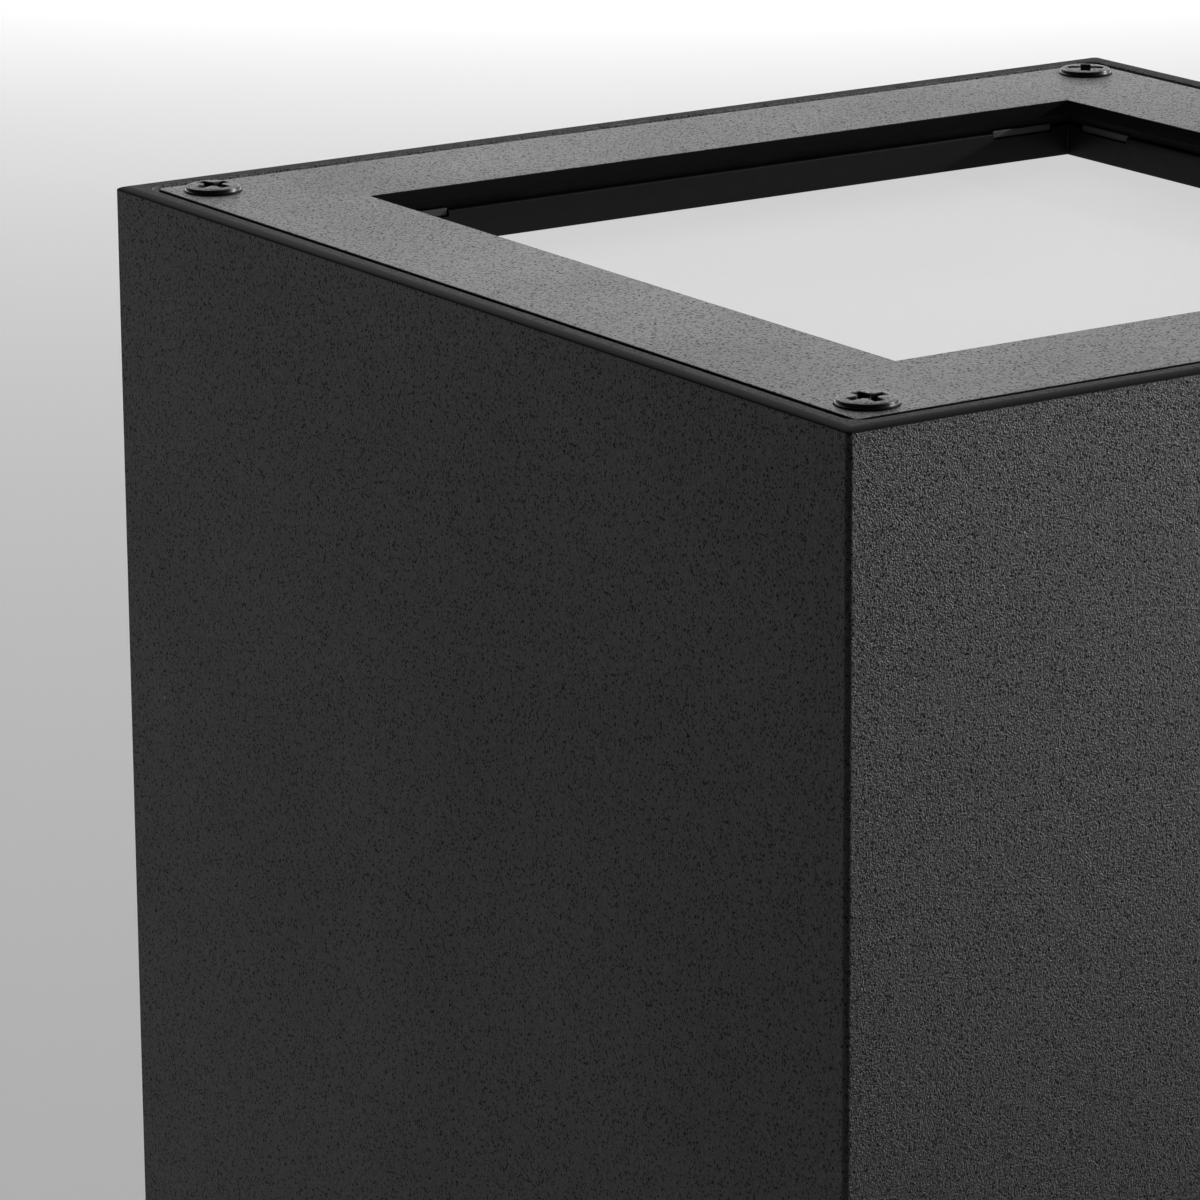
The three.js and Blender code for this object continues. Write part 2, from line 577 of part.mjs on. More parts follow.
// Wall base: a cast box, open towards the wall, that holds the supply terminal and the threaded bushes
function wallBase() {
  const outer = wallOutline(BASE_HALF_WIDTH, BASE_HALF_HEIGHT, BASE_CORNER);
  const inner = wallOutline(BASE_HALF_WIDTH - BASE_WALL, BASE_HALF_HEIGHT - BASE_WALL, BASE_CORNER / 2);
  const box = prism(outer, 'y', BASE_FRONT_Y, BASE_REAR_Y);
  const hollow = prism(inner, 'y', BASE_FLOOR_Y, BASE_REAR_Y + PAST);
  const screwHoles = BASE_SCREW_PLACES.map((place) =>
    bar('y', place, M4_PAN.shank + CUT_GAP, BASE_FRONT_Y - PAST, BASE_FLOOR_Y + PAST));
  const lockingHole = bar(
    'x', [SET_SCREW_Y, 0], M4_PAN.shank + CUT_GAP, -BASE_HALF_WIDTH - PAST, BASE_HALF_WIDTH + PAST);
  const leadHole = bar(
    'y', [GROMMET_X, GROMMET_Z], GROMMET_HOLE_RADIUS, BASE_FRONT_Y - PAST, BASE_FLOOR_Y + PAST);
  const drain = bar(
    'z', [0, DRAIN_Y], DRAIN_RADIUS, -BASE_HALF_HEIGHT - PAST, BASE_WALL - BASE_HALF_HEIGHT + PAST);
  return without(box, hollow, leadHole, drain, lockingHole, ...screwHoles);
}

// A bush stands on the floor of the wall base and takes a base screw from the other side
function baseBush() {
  const start = BASE_FLOOR_Y + SEAT_GAP;
  const end = BASE_FLOOR_Y + BUSH_LENGTH;
  const body = bar('y', [0, 0], BUSH_RADIUS, start, end);
  return without(body, bar('y', [0, 0], M4_PAN.shank + CUT_GAP, start - PAST, end - BUSH_BLIND));
}

// Wall bracket: a steel plate with slots for the wall screws and two ears that take the locking screws.
// Its middle stays solid: that is the lantern's origin.
function wallBracket() {
  const outline = wallOutline(BRACKET_HALF_WIDTH, BRACKET_HALF_HEIGHT, BRACKET_CORNER);
  for (const side of [-1, 1]) {
    outline.holes.push(slotOutline(0, side * FIXING_SLOT_Z, SLOT_HALF_LENGTH, SLOT_HALF_WIDTH));
    outline.holes.push(slotOutline(side * FIXING_SLOT_X, 0, SLOT_HALF_WIDTH, SLOT_HALF_LENGTH));
  }
  const plate = prism(outline, 'y', -SHEET, 0, 4);
  const cableHole = bar('y', [0, CABLE_HOLE_Z], CABLE_HOLE_RADIUS, -SHEET - PAST, PAST);
  const ears = [-1, 1].map((side) => {
    const [x0, x1] = ordered(side * (BRACKET_HALF_WIDTH - SHEET), side * BRACKET_HALF_WIDTH);
    return block(x0, x1, -EAR_DEPTH, -SHEET / 2, -EAR_HALF_HEIGHT, EAR_HALF_HEIGHT);
  });
  const lockingHole = bar(
    'x', [SET_SCREW_Y, 0], M4_PAN.shank + CUT_GAP, -BRACKET_HALF_WIDTH - PAST, BRACKET_HALF_WIDTH + PAST);
  return without(joined(plate, ...ears), cableHole, lockingHole);
}

// A slot with round ends, centred at (x, y); the smaller of its half sizes is the radius of the ends
function slotOutline(x, y, halfX, halfY) {
  const radius = Math.min(halfX, halfY) * 0.999;
  return rectangle(x - halfX, x + halfX, y - halfY, y + halfY, radius);
}

function wallGasket() {
  const outline = wallOutline(BASE_HALF_WIDTH, BASE_HALF_HEIGHT, BASE_CORNER);
  outline.holes.push(wallOutline(
    BRACKET_HALF_WIDTH + BRACKET_PLAY, BRACKET_HALF_HEIGHT + BRACKET_PLAY, BRACKET_CORNER));
  return prism(outline, 'y', SEAT_GAP - SHEET, 0);
}

// Rubber bushes are turned about Z and then laid along Y, their heights running away from the wall
const laidAlongY = (solid) => solid.rotate([90, 0, 0]);

// Its sleeve starts inside the hole and opens into a flange and a collar behind the bracket
function cableMembrane() {
  const rim = CABLE_HOLE_RADIUS - CUT_GAP;
  const flange = rim + MEMBRANE_FLANGE;
  const start = 0.6;
  const seat = SHEET + SEAT_GAP;
  const end = SHEET + 4;
  const profile = [
    [MEMBRANE_BORE, start],
    [rim, start],
    [rim, seat],
    [flange, seat],
    [flange, SHEET + 2],
    [MEMBRANE_BORE + MEMBRANE_FLANGE, end],
    [MEMBRANE_BORE, end],
    [MEMBRANE_BORE, start],
  ];
  return moved(laidAlongY(turned(profile)), 0, 0, CABLE_HOLE_Z);
}

// Its neck lines the holes of the wall base, the body and the chassis, and its flange sits in the base
function leadGrommet() {
  const neck = GROMMET_HOLE_RADIUS - CUT_GAP;
  const flangeFace = -BASE_FLOOR_Y - SEAT_GAP;
  const flangeEnd = flangeFace - GROMMET_LIP;
  const neckEnd = -REAR_INNER_Y + SEAT_GAP + STRAP_SHEET;
  const profile = [
    [GROMMET_BORE, flangeEnd],
    [neck + GROMMET_FLANGE, flangeEnd],
    [neck + GROMMET_FLANGE, flangeFace],
    [neck, flangeFace],
    [neck, neckEnd],
    [GROMMET_BORE, neckEnd],
    [GROMMET_BORE, flangeEnd],
  ];
  return moved(laidAlongY(turned(profile)), GROMMET_X, 0, GROMMET_Z);
}

function terminalHousing() {
  const housing = block(
    -TERMINAL_HALF_WIDTH, TERMINAL_HALF_WIDTH,
    TERMINAL_FLOOR_Y, TERMINAL_FACE_Y,
    TERMINAL_BOTTOM, TERMINAL_TOP);
  const reach = LEVER_SLOT_WIDTH / 2;
  const slotFloor = TERMINAL_FACE_Y - LEVER_THICKNESS - CUT_GAP;
  const supplyDepth = 9;
  const leadDepth = 7;
  const tools = POLES.flatMap(({ x }) => [
    block(x - reach, x + reach, slotFloor, TERMINAL_FACE_Y + PAST, TERMINAL_BOTTOM - PAST, LEVER_SLOT_TOP),
    bar('z', [x, TERMINAL_WIRE_Y], LEAD_HOLE_RADIUS, TERMINAL_BOTTOM - PAST, TERMINAL_BOTTOM + supplyDepth),
    bar('z', [x, TERMINAL_WIRE_Y], LEAD_HOLE_RADIUS, TERMINAL_TOP - leadDepth, TERMINAL_TOP + PAST),
  ]);
  return without(housing, ...tools);
}

// A lever hangs down from its pivot when shut, and ends in a thumb lip
function terminalLever(x) {
  const radius = LEVER_THICKNESS / 2;
  const tip = LEVER_PIVOT_Z - LEVER_LENGTH;
  const back = LEVER_PIVOT_Y - radius;
  const front = LEVER_PIVOT_Y + radius;
  const shape = new THREE.Shape();
  shape.absarc(LEVER_PIVOT_Y, LEVER_PIVOT_Z, radius, 0, Math.PI);
  shape.lineTo(back, tip + 1);
  shape.lineTo(back + LEVER_LIP, tip);
  shape.lineTo(front + LEVER_LIP, tip);
  shape.lineTo(front + LEVER_LIP, tip + 1);
  shape.lineTo(front, tip + 2);
  shape.closePath();
  return prism(shape, 'x', x - LEVER_WIDTH / 2, x + LEVER_WIDTH / 2);
}

// Ring tag on the earth lead, clamped to the web by the earth screw. Its barrel grips the wire.
function earthTag() {
  const barrelPlace = [EARTH_X, TAG_REAR_Y - TAG_BARREL_RADIUS];
  const ring = bar('y', [EARTH_X, EARTH_Z], TAG_RADIUS, TAG_FRONT_Y, TAG_REAR_Y);
  const tongue = block(EARTH_X - 1.5, EARTH_X + 1.5, TAG_FRONT_Y, TAG_REAR_Y, EARTH_Z + 3, EARTH_Z + 10);
  const barrel = bar('z', barrelPlace, TAG_BARREL_RADIUS, EARTH_Z + 8, EARTH_Z + 13);
  const wireHole = bar('z', barrelPlace, WIRE_RADIUS + CUT_GAP, EARTH_Z + 10, EARTH_Z + 14);
  const screwHole = bar(
    'y', [EARTH_X, EARTH_Z], M4_PAN.shank + CUT_GAP, TAG_FRONT_Y - PAST, TAG_REAR_Y + PAST);
  return without(joined(ring, tongue, barrel), screwHole, wireHole);
}

// A lead: a round wire along a smooth curve through its points
function lead(points) {
  const places = points.map(([x, y, z]) => new THREE.Vector3(x, y, z));
  const curve = new THREE.CatmullRomCurve3(places, false, 'centripetal');
  const geometry = new THREE.ExtrudeGeometry(disc(0, 0, WIRE_RADIUS), {
    steps: 20,
    curveSegments: 4,
    bevelEnabled: false,
    extrudePath: curve,
  });
  return solidOf(geometry);
}

// The group of the whole lantern, and how a piece joins it
const lantern = new THREE.Group();

function addPiece(parent, name, solid, look) {
  const material = new THREE.MeshStandardMaterial(look);
  const mesh = new THREE.Mesh(geometryOf(solid), material);
  mesh.name = name;
  parent.add(mesh);
  return mesh;
}

// One end of the lantern. The lower end is the upper one turned over about Y.
function addEnd(name, facing) {
  const end = new THREE.Group();
  end.position.set(0, BODY_Y, 0);
  end.rotation.y = facing > 0 ? 0 : Math.PI;
  addPiece(end, `${name}_end_frame`, endFrame(), POWDER_COAT);
  addPiece(end, `${name}_cover_frame`, coverFrame(), POWDER_COAT);
  addPiece(end, `${name}_cover_gasket`, coverGasket(), BLACK_RUBBER);
  addPiece(end, `${name}_recess_frame`, recessFrame(), BLACK_PLASTIC);
  addPiece(end, `${name}_diffuser`, pane(), OPAL);
  addPiece(end, `${name}_diffuser_seal`, paneSeal(), BLACK_RUBBER);
  addPiece(end, `${name}_reflector`, reflector(), WHITE_PLASTIC);
  addPiece(end, `${name}_led_board`, ledBoard(), BOARD_WHITE);
  const sideOf = (x) => (x * facing < 0 ? 'left' : 'right');
  corners(SCREW_OFFSET).forEach(([x, y], index) => {
    const depthSide = y < 0 ? 'front' : 'rear';
    const screw = raisedHeadScrew(M3_RAISED, COVER_SCREW_LENGTH, SCREW_TURNS[index]);
    const mesh = addPiece(end, `${name}_cover_screw_${depthSide}_${sideOf(x)}`, screw, BLACK_STEEL);
    mesh.position.set(x, y, COVER_TOP + COVER_SCREW_LIFT);
  });
  [-BOARD_SCREW_X, BOARD_SCREW_X].forEach((x, index) => {
    const screw = panHeadScrew(M3_PAN, BOARD_SCREW_LENGTH, SCREW_TURNS[index]);
    const mesh = addPiece(end, `${name}_board_screw_${sideOf(x)}`, screw, STEEL);
    mesh.position.set(x, 0, FOOT_TOP + SEAT_GAP);
  });
  lantern.add(end);
}

// Screws through the chassis, the body's rear wall and the floor of the wall base, each into its bush
function addBaseScrews() {
  BASE_SCREW_PLACES.forEach(([x, z], index) => {
    const place = `${z > 0 ? 'upper' : 'lower'}_${x < 0 ? 'left' : 'right'}`;
    const screw = panHeadScrew(M4_PAN, BASE_SCREW_LENGTH, SCREW_TURNS[index]);
    const mesh = addPiece(lantern, `base_screw_${place}`, screw, STEEL);
    mesh.rotation.x = Math.PI / 2;
    mesh.position.set(x, WEB_FRONT_Y - SEAT_GAP, z);
    const bush = addPiece(lantern, `base_bush_${place}`, baseBush(), STEEL);
    bush.position.set(x, 0, z);
  });
}

// Screws through the sides of the wall base into the bracket's ears
function addLockingScrews() {
  for (const [name, side] of [['locking_screw_left', -1], ['locking_screw_right', 1]]) {
    const screw = panHeadScrew(M4_PAN, LOCKING_SCREW_LENGTH, SCREW_TURNS[1]);
    const mesh = addPiece(lantern, name, screw, BLACK_STEEL);
    mesh.rotation.y = side * Math.PI / 2;
    mesh.position.set(side * (BASE_HALF_WIDTH + SEAT_GAP), SET_SCREW_Y, 0);
  }
}

function addTerminal() {
  addPiece(lantern, 'terminal_housing', terminalHousing(), GREY_PLASTIC);
  for (const pole of POLES) {
    addPiece(lantern, `terminal_lever_${pole.name}`, terminalLever(pole.x), LEVER_ORANGE);
  }
}

function addEarthPoint() {
  addPiece(lantern, 'earth_tag', earthTag(), STEEL);
  const screw = panHeadScrew(M4_PAN, EARTH_SCREW_LENGTH, SCREW_TURNS[0]);
  const mesh = addPiece(lantern, 'earth_screw', screw, STEEL);
  mesh.rotation.x = Math.PI / 2;
  mesh.position.set(EARTH_X, TAG_FRONT_Y - SEAT_GAP, EARTH_Z);
}

// Leads run from the terminal through the grommet to the driver and the earth tag,
// and from the driver through the flanges to the boards
function addLeads() {
  const wireY = TERMINAL_WIRE_Y;
  const [nearEntry, farEntry] = DRIVER_ENTRIES;
  const driverEnd = DRIVER_END;
  const stacked = { live: -2.4, neutral: 0, earth: 2.4 };
  const toGrommet = (pole) => {
    const height = GROMMET_Z + stacked[pole.name];
    return [
      [pole.x, wireY, TERMINAL_TOP - 5],
      [pole.x, wireY, TERMINAL_TOP + 2],
      [pole.x - 3, wireY + 3, height],
      [GROMMET_X + 7, wireY + 5.5, height],
      [GROMMET_X + 1, wireY + 2, height],
      [GROMMET_X, BASE_FLOOR_Y, height],
      [GROMMET_X, WEB_FRONT_Y, height],
    ];
  };
  const [live, neutral, earth] = POLES;
  addPiece(lantern, 'live_lead', lead([
    ...toGrommet(live),
    [GROMMET_X + 3, WEB_FRONT_Y - 4, GROMMET_Z],
    [GROMMET_X + 16, nearEntry[1] + 2, driverEnd + 4],
    [nearEntry[0] - 1, nearEntry[1], driverEnd + 7],
    [nearEntry[0], nearEntry[1], driverEnd + 3],
    [nearEntry[0], nearEntry[1], driverEnd - 3],
  ]), WIRE_COLOURS.live);
  addPiece(lantern, 'neutral_lead', lead([
    ...toGrommet(neutral),
    [GROMMET_X + 2, WEB_FRONT_Y - 5, GROMMET_Z + 3],
    [GROMMET_X + 12, nearEntry[1], driverEnd + 11],
    [farEntry[0] - 3, farEntry[1], driverEnd + 11],
    [farEntry[0], farEntry[1], driverEnd + 5],
    [farEntry[0], farEntry[1], driverEnd - 3],
  ]), WIRE_COLOURS.neutral);
  addPiece(lantern, 'earth_lead', lead([
    ...toGrommet(earth),
    [GROMMET_X - 3, WEB_FRONT_Y - 3, GROMMET_Z + 3.5],
    [GROMMET_X - 6, WEB_FRONT_Y - 4.5, GROMMET_Z - 1],
    [GROMMET_X - 6, WEB_FRONT_Y - 4.5, GROMMET_Z - 10],
    [EARTH_X - 1, TAG_REAR_Y - 2.5, EARTH_Z + 19],
    [EARTH_X, TAG_REAR_Y - TAG_BARREL_RADIUS, EARTH_Z + 14],
    [EARTH_X, TAG_REAR_Y - TAG_BARREL_RADIUS, EARTH_Z + 10.5],
  ]), WIRE_COLOURS.earth);
  const overFlange = (facing) => [
    [LEAD_WAY_X, LEAD_WAY_Y, facing * (FLANGE_HEIGHT - 6)],
    [LEAD_WAY_X, LEAD_WAY_Y, facing * (FLANGE_HEIGHT + 1)],
    [LEAD_WAY_X, LEAD_WAY_Y - 1.5, facing * (FOOT_TOP + 1)],
    [LEAD_WAY_X, BODY_Y + BOARD_HALF - 2, facing * (FOOT_TOP + 1.4)],
  ];
  addPiece(lantern, 'upper_board_lead', lead([
    [nearEntry[0], nearEntry[1], 3 - driverEnd],
    [nearEntry[0], nearEntry[1], -driverEnd - 2],
    [nearEntry[0] - 4, nearEntry[1] - 3, -driverEnd - 4],
    [LEAD_WAY_X + 6, LEAD_WAY_Y - 1, -driverEnd],
    [LEAD_WAY_X, LEAD_WAY_Y, -driverEnd / 2],
    [LEAD_WAY_X, LEAD_WAY_Y, driverEnd / 2],
    ...overFlange(1),
  ]), WIRE_COLOURS.red);
  addPiece(lantern, 'lower_board_lead', lead([
    [farEntry[0], farEntry[1], 3 - driverEnd],
    [farEntry[0], farEntry[1], -driverEnd - 3],
    [farEntry[0] - 5, farEntry[1] - 1, -driverEnd - 8],
    [LEAD_WAY_X + 8, LEAD_WAY_Y + 2, -driverEnd - 9],
    ...overFlange(-1),
  ]), WIRE_COLOURS.red);
}

addPiece(lantern, 'body_tube', bodyTube(), POWDER_COAT);
addEnd('upper', 1);
addEnd('lower', -1);
addPiece(lantern, 'chassis', chassis(), ALUMINIUM);
addPiece(lantern, 'led_driver', ledDriver(), WHITE_PLASTIC);
addPiece(lantern, 'driver_strap', driverStrap(), STEEL);
addPiece(lantern, 'wall_base', wallBase(), POWDER_COAT);
addPiece(lantern, 'wall_bracket', wallBracket(), STEEL);
addPiece(lantern, 'wall_gasket', wallGasket(), BLACK_RUBBER);
addPiece(lantern, 'cable_membrane', cableMembrane(), BLACK_RUBBER);
addPiece(lantern, 'lead_grommet', leadGrommet(), BLACK_RUBBER);
addTerminal();
addEarthPoint();
addBaseScrews();
addLockingScrews();
addLeads();

export default lantern;
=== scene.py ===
"""Looks of a square outdoor wall lantern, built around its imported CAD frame.

Metres, +Z up. The wall is the plane y = 0 and the lantern stands out from it along -Y.
"""
import json
import math

import bmesh
import bpy
from mathutils import Matrix, Vector


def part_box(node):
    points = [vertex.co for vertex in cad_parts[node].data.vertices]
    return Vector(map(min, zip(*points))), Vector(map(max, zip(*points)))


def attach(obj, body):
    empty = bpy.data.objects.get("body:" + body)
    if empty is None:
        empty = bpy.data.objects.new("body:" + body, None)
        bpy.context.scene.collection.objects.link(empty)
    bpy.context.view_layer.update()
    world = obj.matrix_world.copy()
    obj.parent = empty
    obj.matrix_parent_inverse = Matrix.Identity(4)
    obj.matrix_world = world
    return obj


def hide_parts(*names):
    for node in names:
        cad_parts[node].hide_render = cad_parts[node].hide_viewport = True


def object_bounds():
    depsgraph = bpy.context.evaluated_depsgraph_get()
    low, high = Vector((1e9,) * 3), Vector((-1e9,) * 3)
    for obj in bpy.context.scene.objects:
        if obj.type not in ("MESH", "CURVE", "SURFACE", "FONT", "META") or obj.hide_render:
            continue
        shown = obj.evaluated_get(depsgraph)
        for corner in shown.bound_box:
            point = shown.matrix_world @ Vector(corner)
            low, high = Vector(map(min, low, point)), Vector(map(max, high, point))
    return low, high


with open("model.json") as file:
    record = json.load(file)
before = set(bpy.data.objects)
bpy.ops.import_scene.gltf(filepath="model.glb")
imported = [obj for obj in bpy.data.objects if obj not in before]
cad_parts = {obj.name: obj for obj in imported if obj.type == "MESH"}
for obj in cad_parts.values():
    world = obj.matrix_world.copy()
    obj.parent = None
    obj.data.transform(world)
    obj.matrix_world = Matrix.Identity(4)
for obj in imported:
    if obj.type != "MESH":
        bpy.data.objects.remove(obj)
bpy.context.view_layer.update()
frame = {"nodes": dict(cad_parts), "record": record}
node_slots = {entry["node"]: entry["material_slot"] for entry in frame["record"]["subparts"]}

MM = 0.001
ROOT = "lantern"
ENDS = (("upper", 1), ("lower", -1))


# ---------------------------------------------------------------- places, from the frame

body_low, body_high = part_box("body_tube")
HALF = (body_high.x - body_low.x) / 2
RIM = body_high.z
BODY_Y = (body_low.y + body_high.y) / 2
REAR_Y = body_high.y
COVER_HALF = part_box("upper_cover_frame")[1].x
SCREW_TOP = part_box("upper_cover_screw_front_left")[1].z


# ---------------------------------------------------------------- sizes that a box can't tell

# Body; its wall and its rim's rounding are a little finer than in the CAD
WALL = 2.2 * MM
EDGE_ROUND = 0.5 * MM
INNER_CORNER = 1.8 * MM
RIM_ROUND = (1.05 * MM, 0.32 * MM)          # across the wall and down from the rim
INSIDE_RIM = 0.15 * MM
BASE_SCREW_X = 30 * MM
BASE_SCREW_Z = 45 * MM
BASE_SCREW_HOLE = 2.3 * MM
LEAD_HOLE = (-24 * MM, 30 * MM, 8 * MM)     # x, z and radius

# Cover frame and its screws
WINDOW_HALF = 42.1 * MM
SCREW_OFFSET = 53.1 * MM
SINK_MOUTH = 2.84 * MM
SINK_THROAT = 1.8 * MM
HEAD_HEIGHT = 0.65 * MM
SHANK_RADIUS = 1.5 * MM
TIP_RADIUS = 1.2 * MM
TIP_LENGTH = 0.6 * MM
CROSS_HALF_WIDTH = 0.56 * MM
CROSS_REACH = 2.15 * MM
CROSS_DEPTH = 1.35 * MM

# How far the cross of each cover screw is turned, in degrees
SCREW_TURNS = {"front_left": 88, "front_right": 71, "rear_left": 14, "rear_right": 52}

# Recess frame, and the slots in it with the light well's clips
RECESS_HALF = 42.6 * MM
CLIP_BELOW_RIM = 2.4 * MM
CLIP_HEIGHT = 0.9 * MM
CLIP_LENGTH = 7.6 * MM
CLIP_FROM_CORNER = 2 * MM
CLIP_SLOT_DEPTH = 1.2 * MM
CLIP_PLAY = 0.06 * MM

# Wall bracket
BRACKET_SHEET = 2 * MM
BRACKET_CORNER = 4 * MM
FIXING_X = 24 * MM
FIXING_Z = 50 * MM
FIXING_SHORT = 2.75 * MM
FIXING_LONG = 8 * MM
CABLE_HOLE_Z = -28 * MM
CABLE_HOLE_RADIUS = 10 * MM
EAR_HALF = 8 * MM
LOCKING_Y = -9 * MM
LOCKING_HOLE = 2.3 * MM


# ---------------------------------------------------------------- outlines

def circle(radius, steps):
    """Points (x, y) round a circle, anticlockwise from +X."""
    angles = [2 * math.pi * step / steps for step in range(steps)]
    return [(radius * math.cos(angle), radius * math.sin(angle)) for angle in angles]


def rounded_rectangle(half_x, half_y, corner, steps=8):
    """Points (x, y) round a rectangle, anticlockwise, with a quarter circle at each corner."""
    points = []
    for quarter, (side_x, side_y) in enumerate(((1, 1), (-1, 1), (-1, -1), (1, -1))):
        for step in range(steps + 1):
            angle = math.pi / 2 * (quarter + step / steps)
            x = side_x * (half_x - corner) + corner * math.cos(angle)
            y = side_y * (half_y - corner) + corner * math.sin(angle)
            points.append((x, y))
    return points


def quarter_arc(centre, radius, start_deg, steps=4):
    """Points of a quarter circle in the (half width, height) plane."""
    arc = []
    for step in range(steps + 1):
        angle = math.radians(start_deg + 90 * step / steps)
        arc.append((centre[0] + radius * math.cos(angle), centre[1] + radius * math.sin(angle)))
    return arc


# ---------------------------------------------------------------- mesh building

def new_object(name, verts, faces):
    """A mesh object from points and faces, with its normals made to point outwards."""
    mesh = bpy.data.meshes.new(name)
    mesh.from_pydata([tuple(v) for v in verts], [], faces)
    shaped = bmesh.new()
    shaped.from_mesh(mesh)
    bmesh.ops.remove_doubles(shaped, verts=shaped.verts, dist=1e-7)
    bmesh.ops.recalc_face_normals(shaped, faces=shaped.faces)
    shaped.to_mesh(mesh)
    shaped.free()
    obj = bpy.data.objects.new(name, mesh)
    bpy.context.scene.collection.objects.link(obj)
    return obj


def loft(name, rings, closed=False):
    """Quads between rings of equally many points.

    Closed joins the last ring to the first; otherwise each end gets a cap.
    """
    count = len(rings[0])
    verts = [point for ring in rings for point in ring]
    faces = []
    spans = len(rings) if closed else len(rings) - 1
    for row in range(spans):
        after = (row + 1) % len(rings)
        for i in range(count):
            j = (i + 1) % count
            faces.append((row * count + i, row * count + j, after * count + j, after * count + i))
    if not closed:
        faces.append(tuple(range(count)))
        faces.append(tuple((len(rings) - 1) * count + i for i in range(count)))
    return new_object(name, verts, faces)


def square_loft(name, section, closed=True, steps=8):
    """A square hoop about the body's axis from (half width, height, corner radius) points."""
    rings = []
    for half, z, corner in section:
        outline = rounded_rectangle(half, half, max(corner, 1e-6), steps)
        rings.append([(x, BODY_Y + y, z) for x, y in outline])
    return loft(name, rings, closed)


def hoop(name, node, outer, inner, outer_round, inner_round, outer_corner, inner_corner):
    """A flat square hoop as high as a CAD node, with all four edges rounded."""
    low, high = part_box(node)
    edges = (
        (outer - outer_round, high.z - outer_round, outer_round, outer_corner),
        (inner + inner_round, high.z - inner_round, inner_round, inner_corner),
        (inner + inner_round, low.z + inner_round, inner_round, inner_corner),
        (outer - outer_round, low.z + outer_round, outer_round, outer_corner),
    )
    section = []
    for quarter, (across, up, rounding, corner) in enumerate(edges):
        for x, z in quarter_arc((across, up), rounding, 90 * quarter):
            section.append((x, z, corner))
    return square_loft(name, section, steps=6)


def turned(name, profile, steps=64):
    """A solid of revolution about Z from (radius, height) points that start and end on the axis."""
    verts = [(0, 0, profile[0][1])]
    for radius, height in profile[1:-1]:
        verts += [(x, y, height) for x, y in circle(radius, steps)]
    verts.append((0, 0, profile[-1][1]))
    rows = len(profile) - 2
    last = len(verts) - 1
    faces = []
    for i in range(steps):
        j = (i + 1) % steps
        faces.append((0, 1 + j, 1 + i))
        faces.append((last, 1 + (rows - 1) * steps + i, 1 + (rows - 1) * steps + j))
        for row in range(rows - 1):
            low, high = 1 + row * steps, 1 + (row + 1) * steps
            faces.append((low + i, low + j, high + j, high + i))
    return new_object(name, verts, faces)


def block(name, low, high):
    """A box between two corners, as a tool or as a part of a larger piece."""
    (x0, y0, z0), (x1, y1, z1) = low, high
    verts = [(x, y, z) for x in (x0, x1) for y in (y0, y1) for z in (z0, z1)]
    faces = [(0, 1, 3, 2), (4, 6, 7, 5), (0, 4, 5, 1), (2, 3, 7, 6), (0, 2, 6, 4), (1, 5, 7, 3)]
    return new_object(name, verts, faces)


def rod(start, end, radius, steps):
    """A round rod between two points, as a cutting tool."""
    axis = Vector(end) - Vector(start)
    turn = Vector((0, 0, 1)).rotation_difference(axis)
    rings = [
        [base + turn @ Vector((x, y, 0)) for x, y in circle(radius, steps)]
        for base in (Vector(start), Vector(end))
    ]
    return loft("rod", rings)


def upright_plate(name, half_x, half_z, corner, back, front, chamfer):
    """A plate parallel to the wall, from depth back to depth front, with chamfered outer edges."""
    rings = []
    for inset, y in ((chamfer, back), (0, back + chamfer), (0, front - chamfer), (chamfer, front)):
        outline = rounded_rectangle(half_x - inset, half_z - inset, corner - inset)
        rings.append([(x, y, z) for x, z in outline])
    return loft(name, rings)


def combine(obj, tools, operation):
    """Joins tools to obj (UNION) or cuts them out of it (DIFFERENCE), and removes them."""
    for tool in tools:
        change = obj.modifiers.new("combine", "BOOLEAN")
        change.operation = operation
        change.solver = "EXACT"
        change.object = tool
        bpy.context.view_layer.update()
        evaluated = obj.evaluated_get(bpy.context.evaluated_depsgraph_get())
        mesh = bpy.data.meshes.new_from_object(evaluated)
        obj.modifiers.remove(change)
        obj.data = mesh
        bpy.data.objects.remove(tool)


def place(obj, matrix):
    """Moves a piece's points, so that its object stays at the origin."""
    obj.data.transform(matrix)
    obj.data.update()
    return obj


def end_over_end(sign):
    """Turns a piece that is drawn for the upper end (1) over for the lower end (-1)."""
    return Matrix.Identity(4) if sign > 0 else Matrix.Rotation(math.pi, 4, "X")


def bevelled(obj, width, segments=2):
    """Rounds the piece's sharp edges."""
    bevel = obj.modifiers.new("edge rounding", "BEVEL")
    bevel.width = width
    bevel.segments = segments
    bevel.limit_method = "ANGLE"
    bevel.angle_limit = math.radians(30)


def smoothed(obj, angle=30):
    """Smooth shading, broken at edges sharper than the angle."""
    mesh = obj.data
    mesh.polygons.foreach_set("use_smooth", [True] * len(mesh.polygons))
    mesh.set_sharp_from_angle(angle=math.radians(angle))


def hand_over(obj, node, look):
    """The piece stands for a CAD node, which it hides: it rides on the lantern and wears a material."""
    obj.data.materials.clear()
    obj.data.materials.append(materials[look])
    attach(obj, ROOT)
    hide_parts(node)


# ---------------------------------------------------------------- material nodes

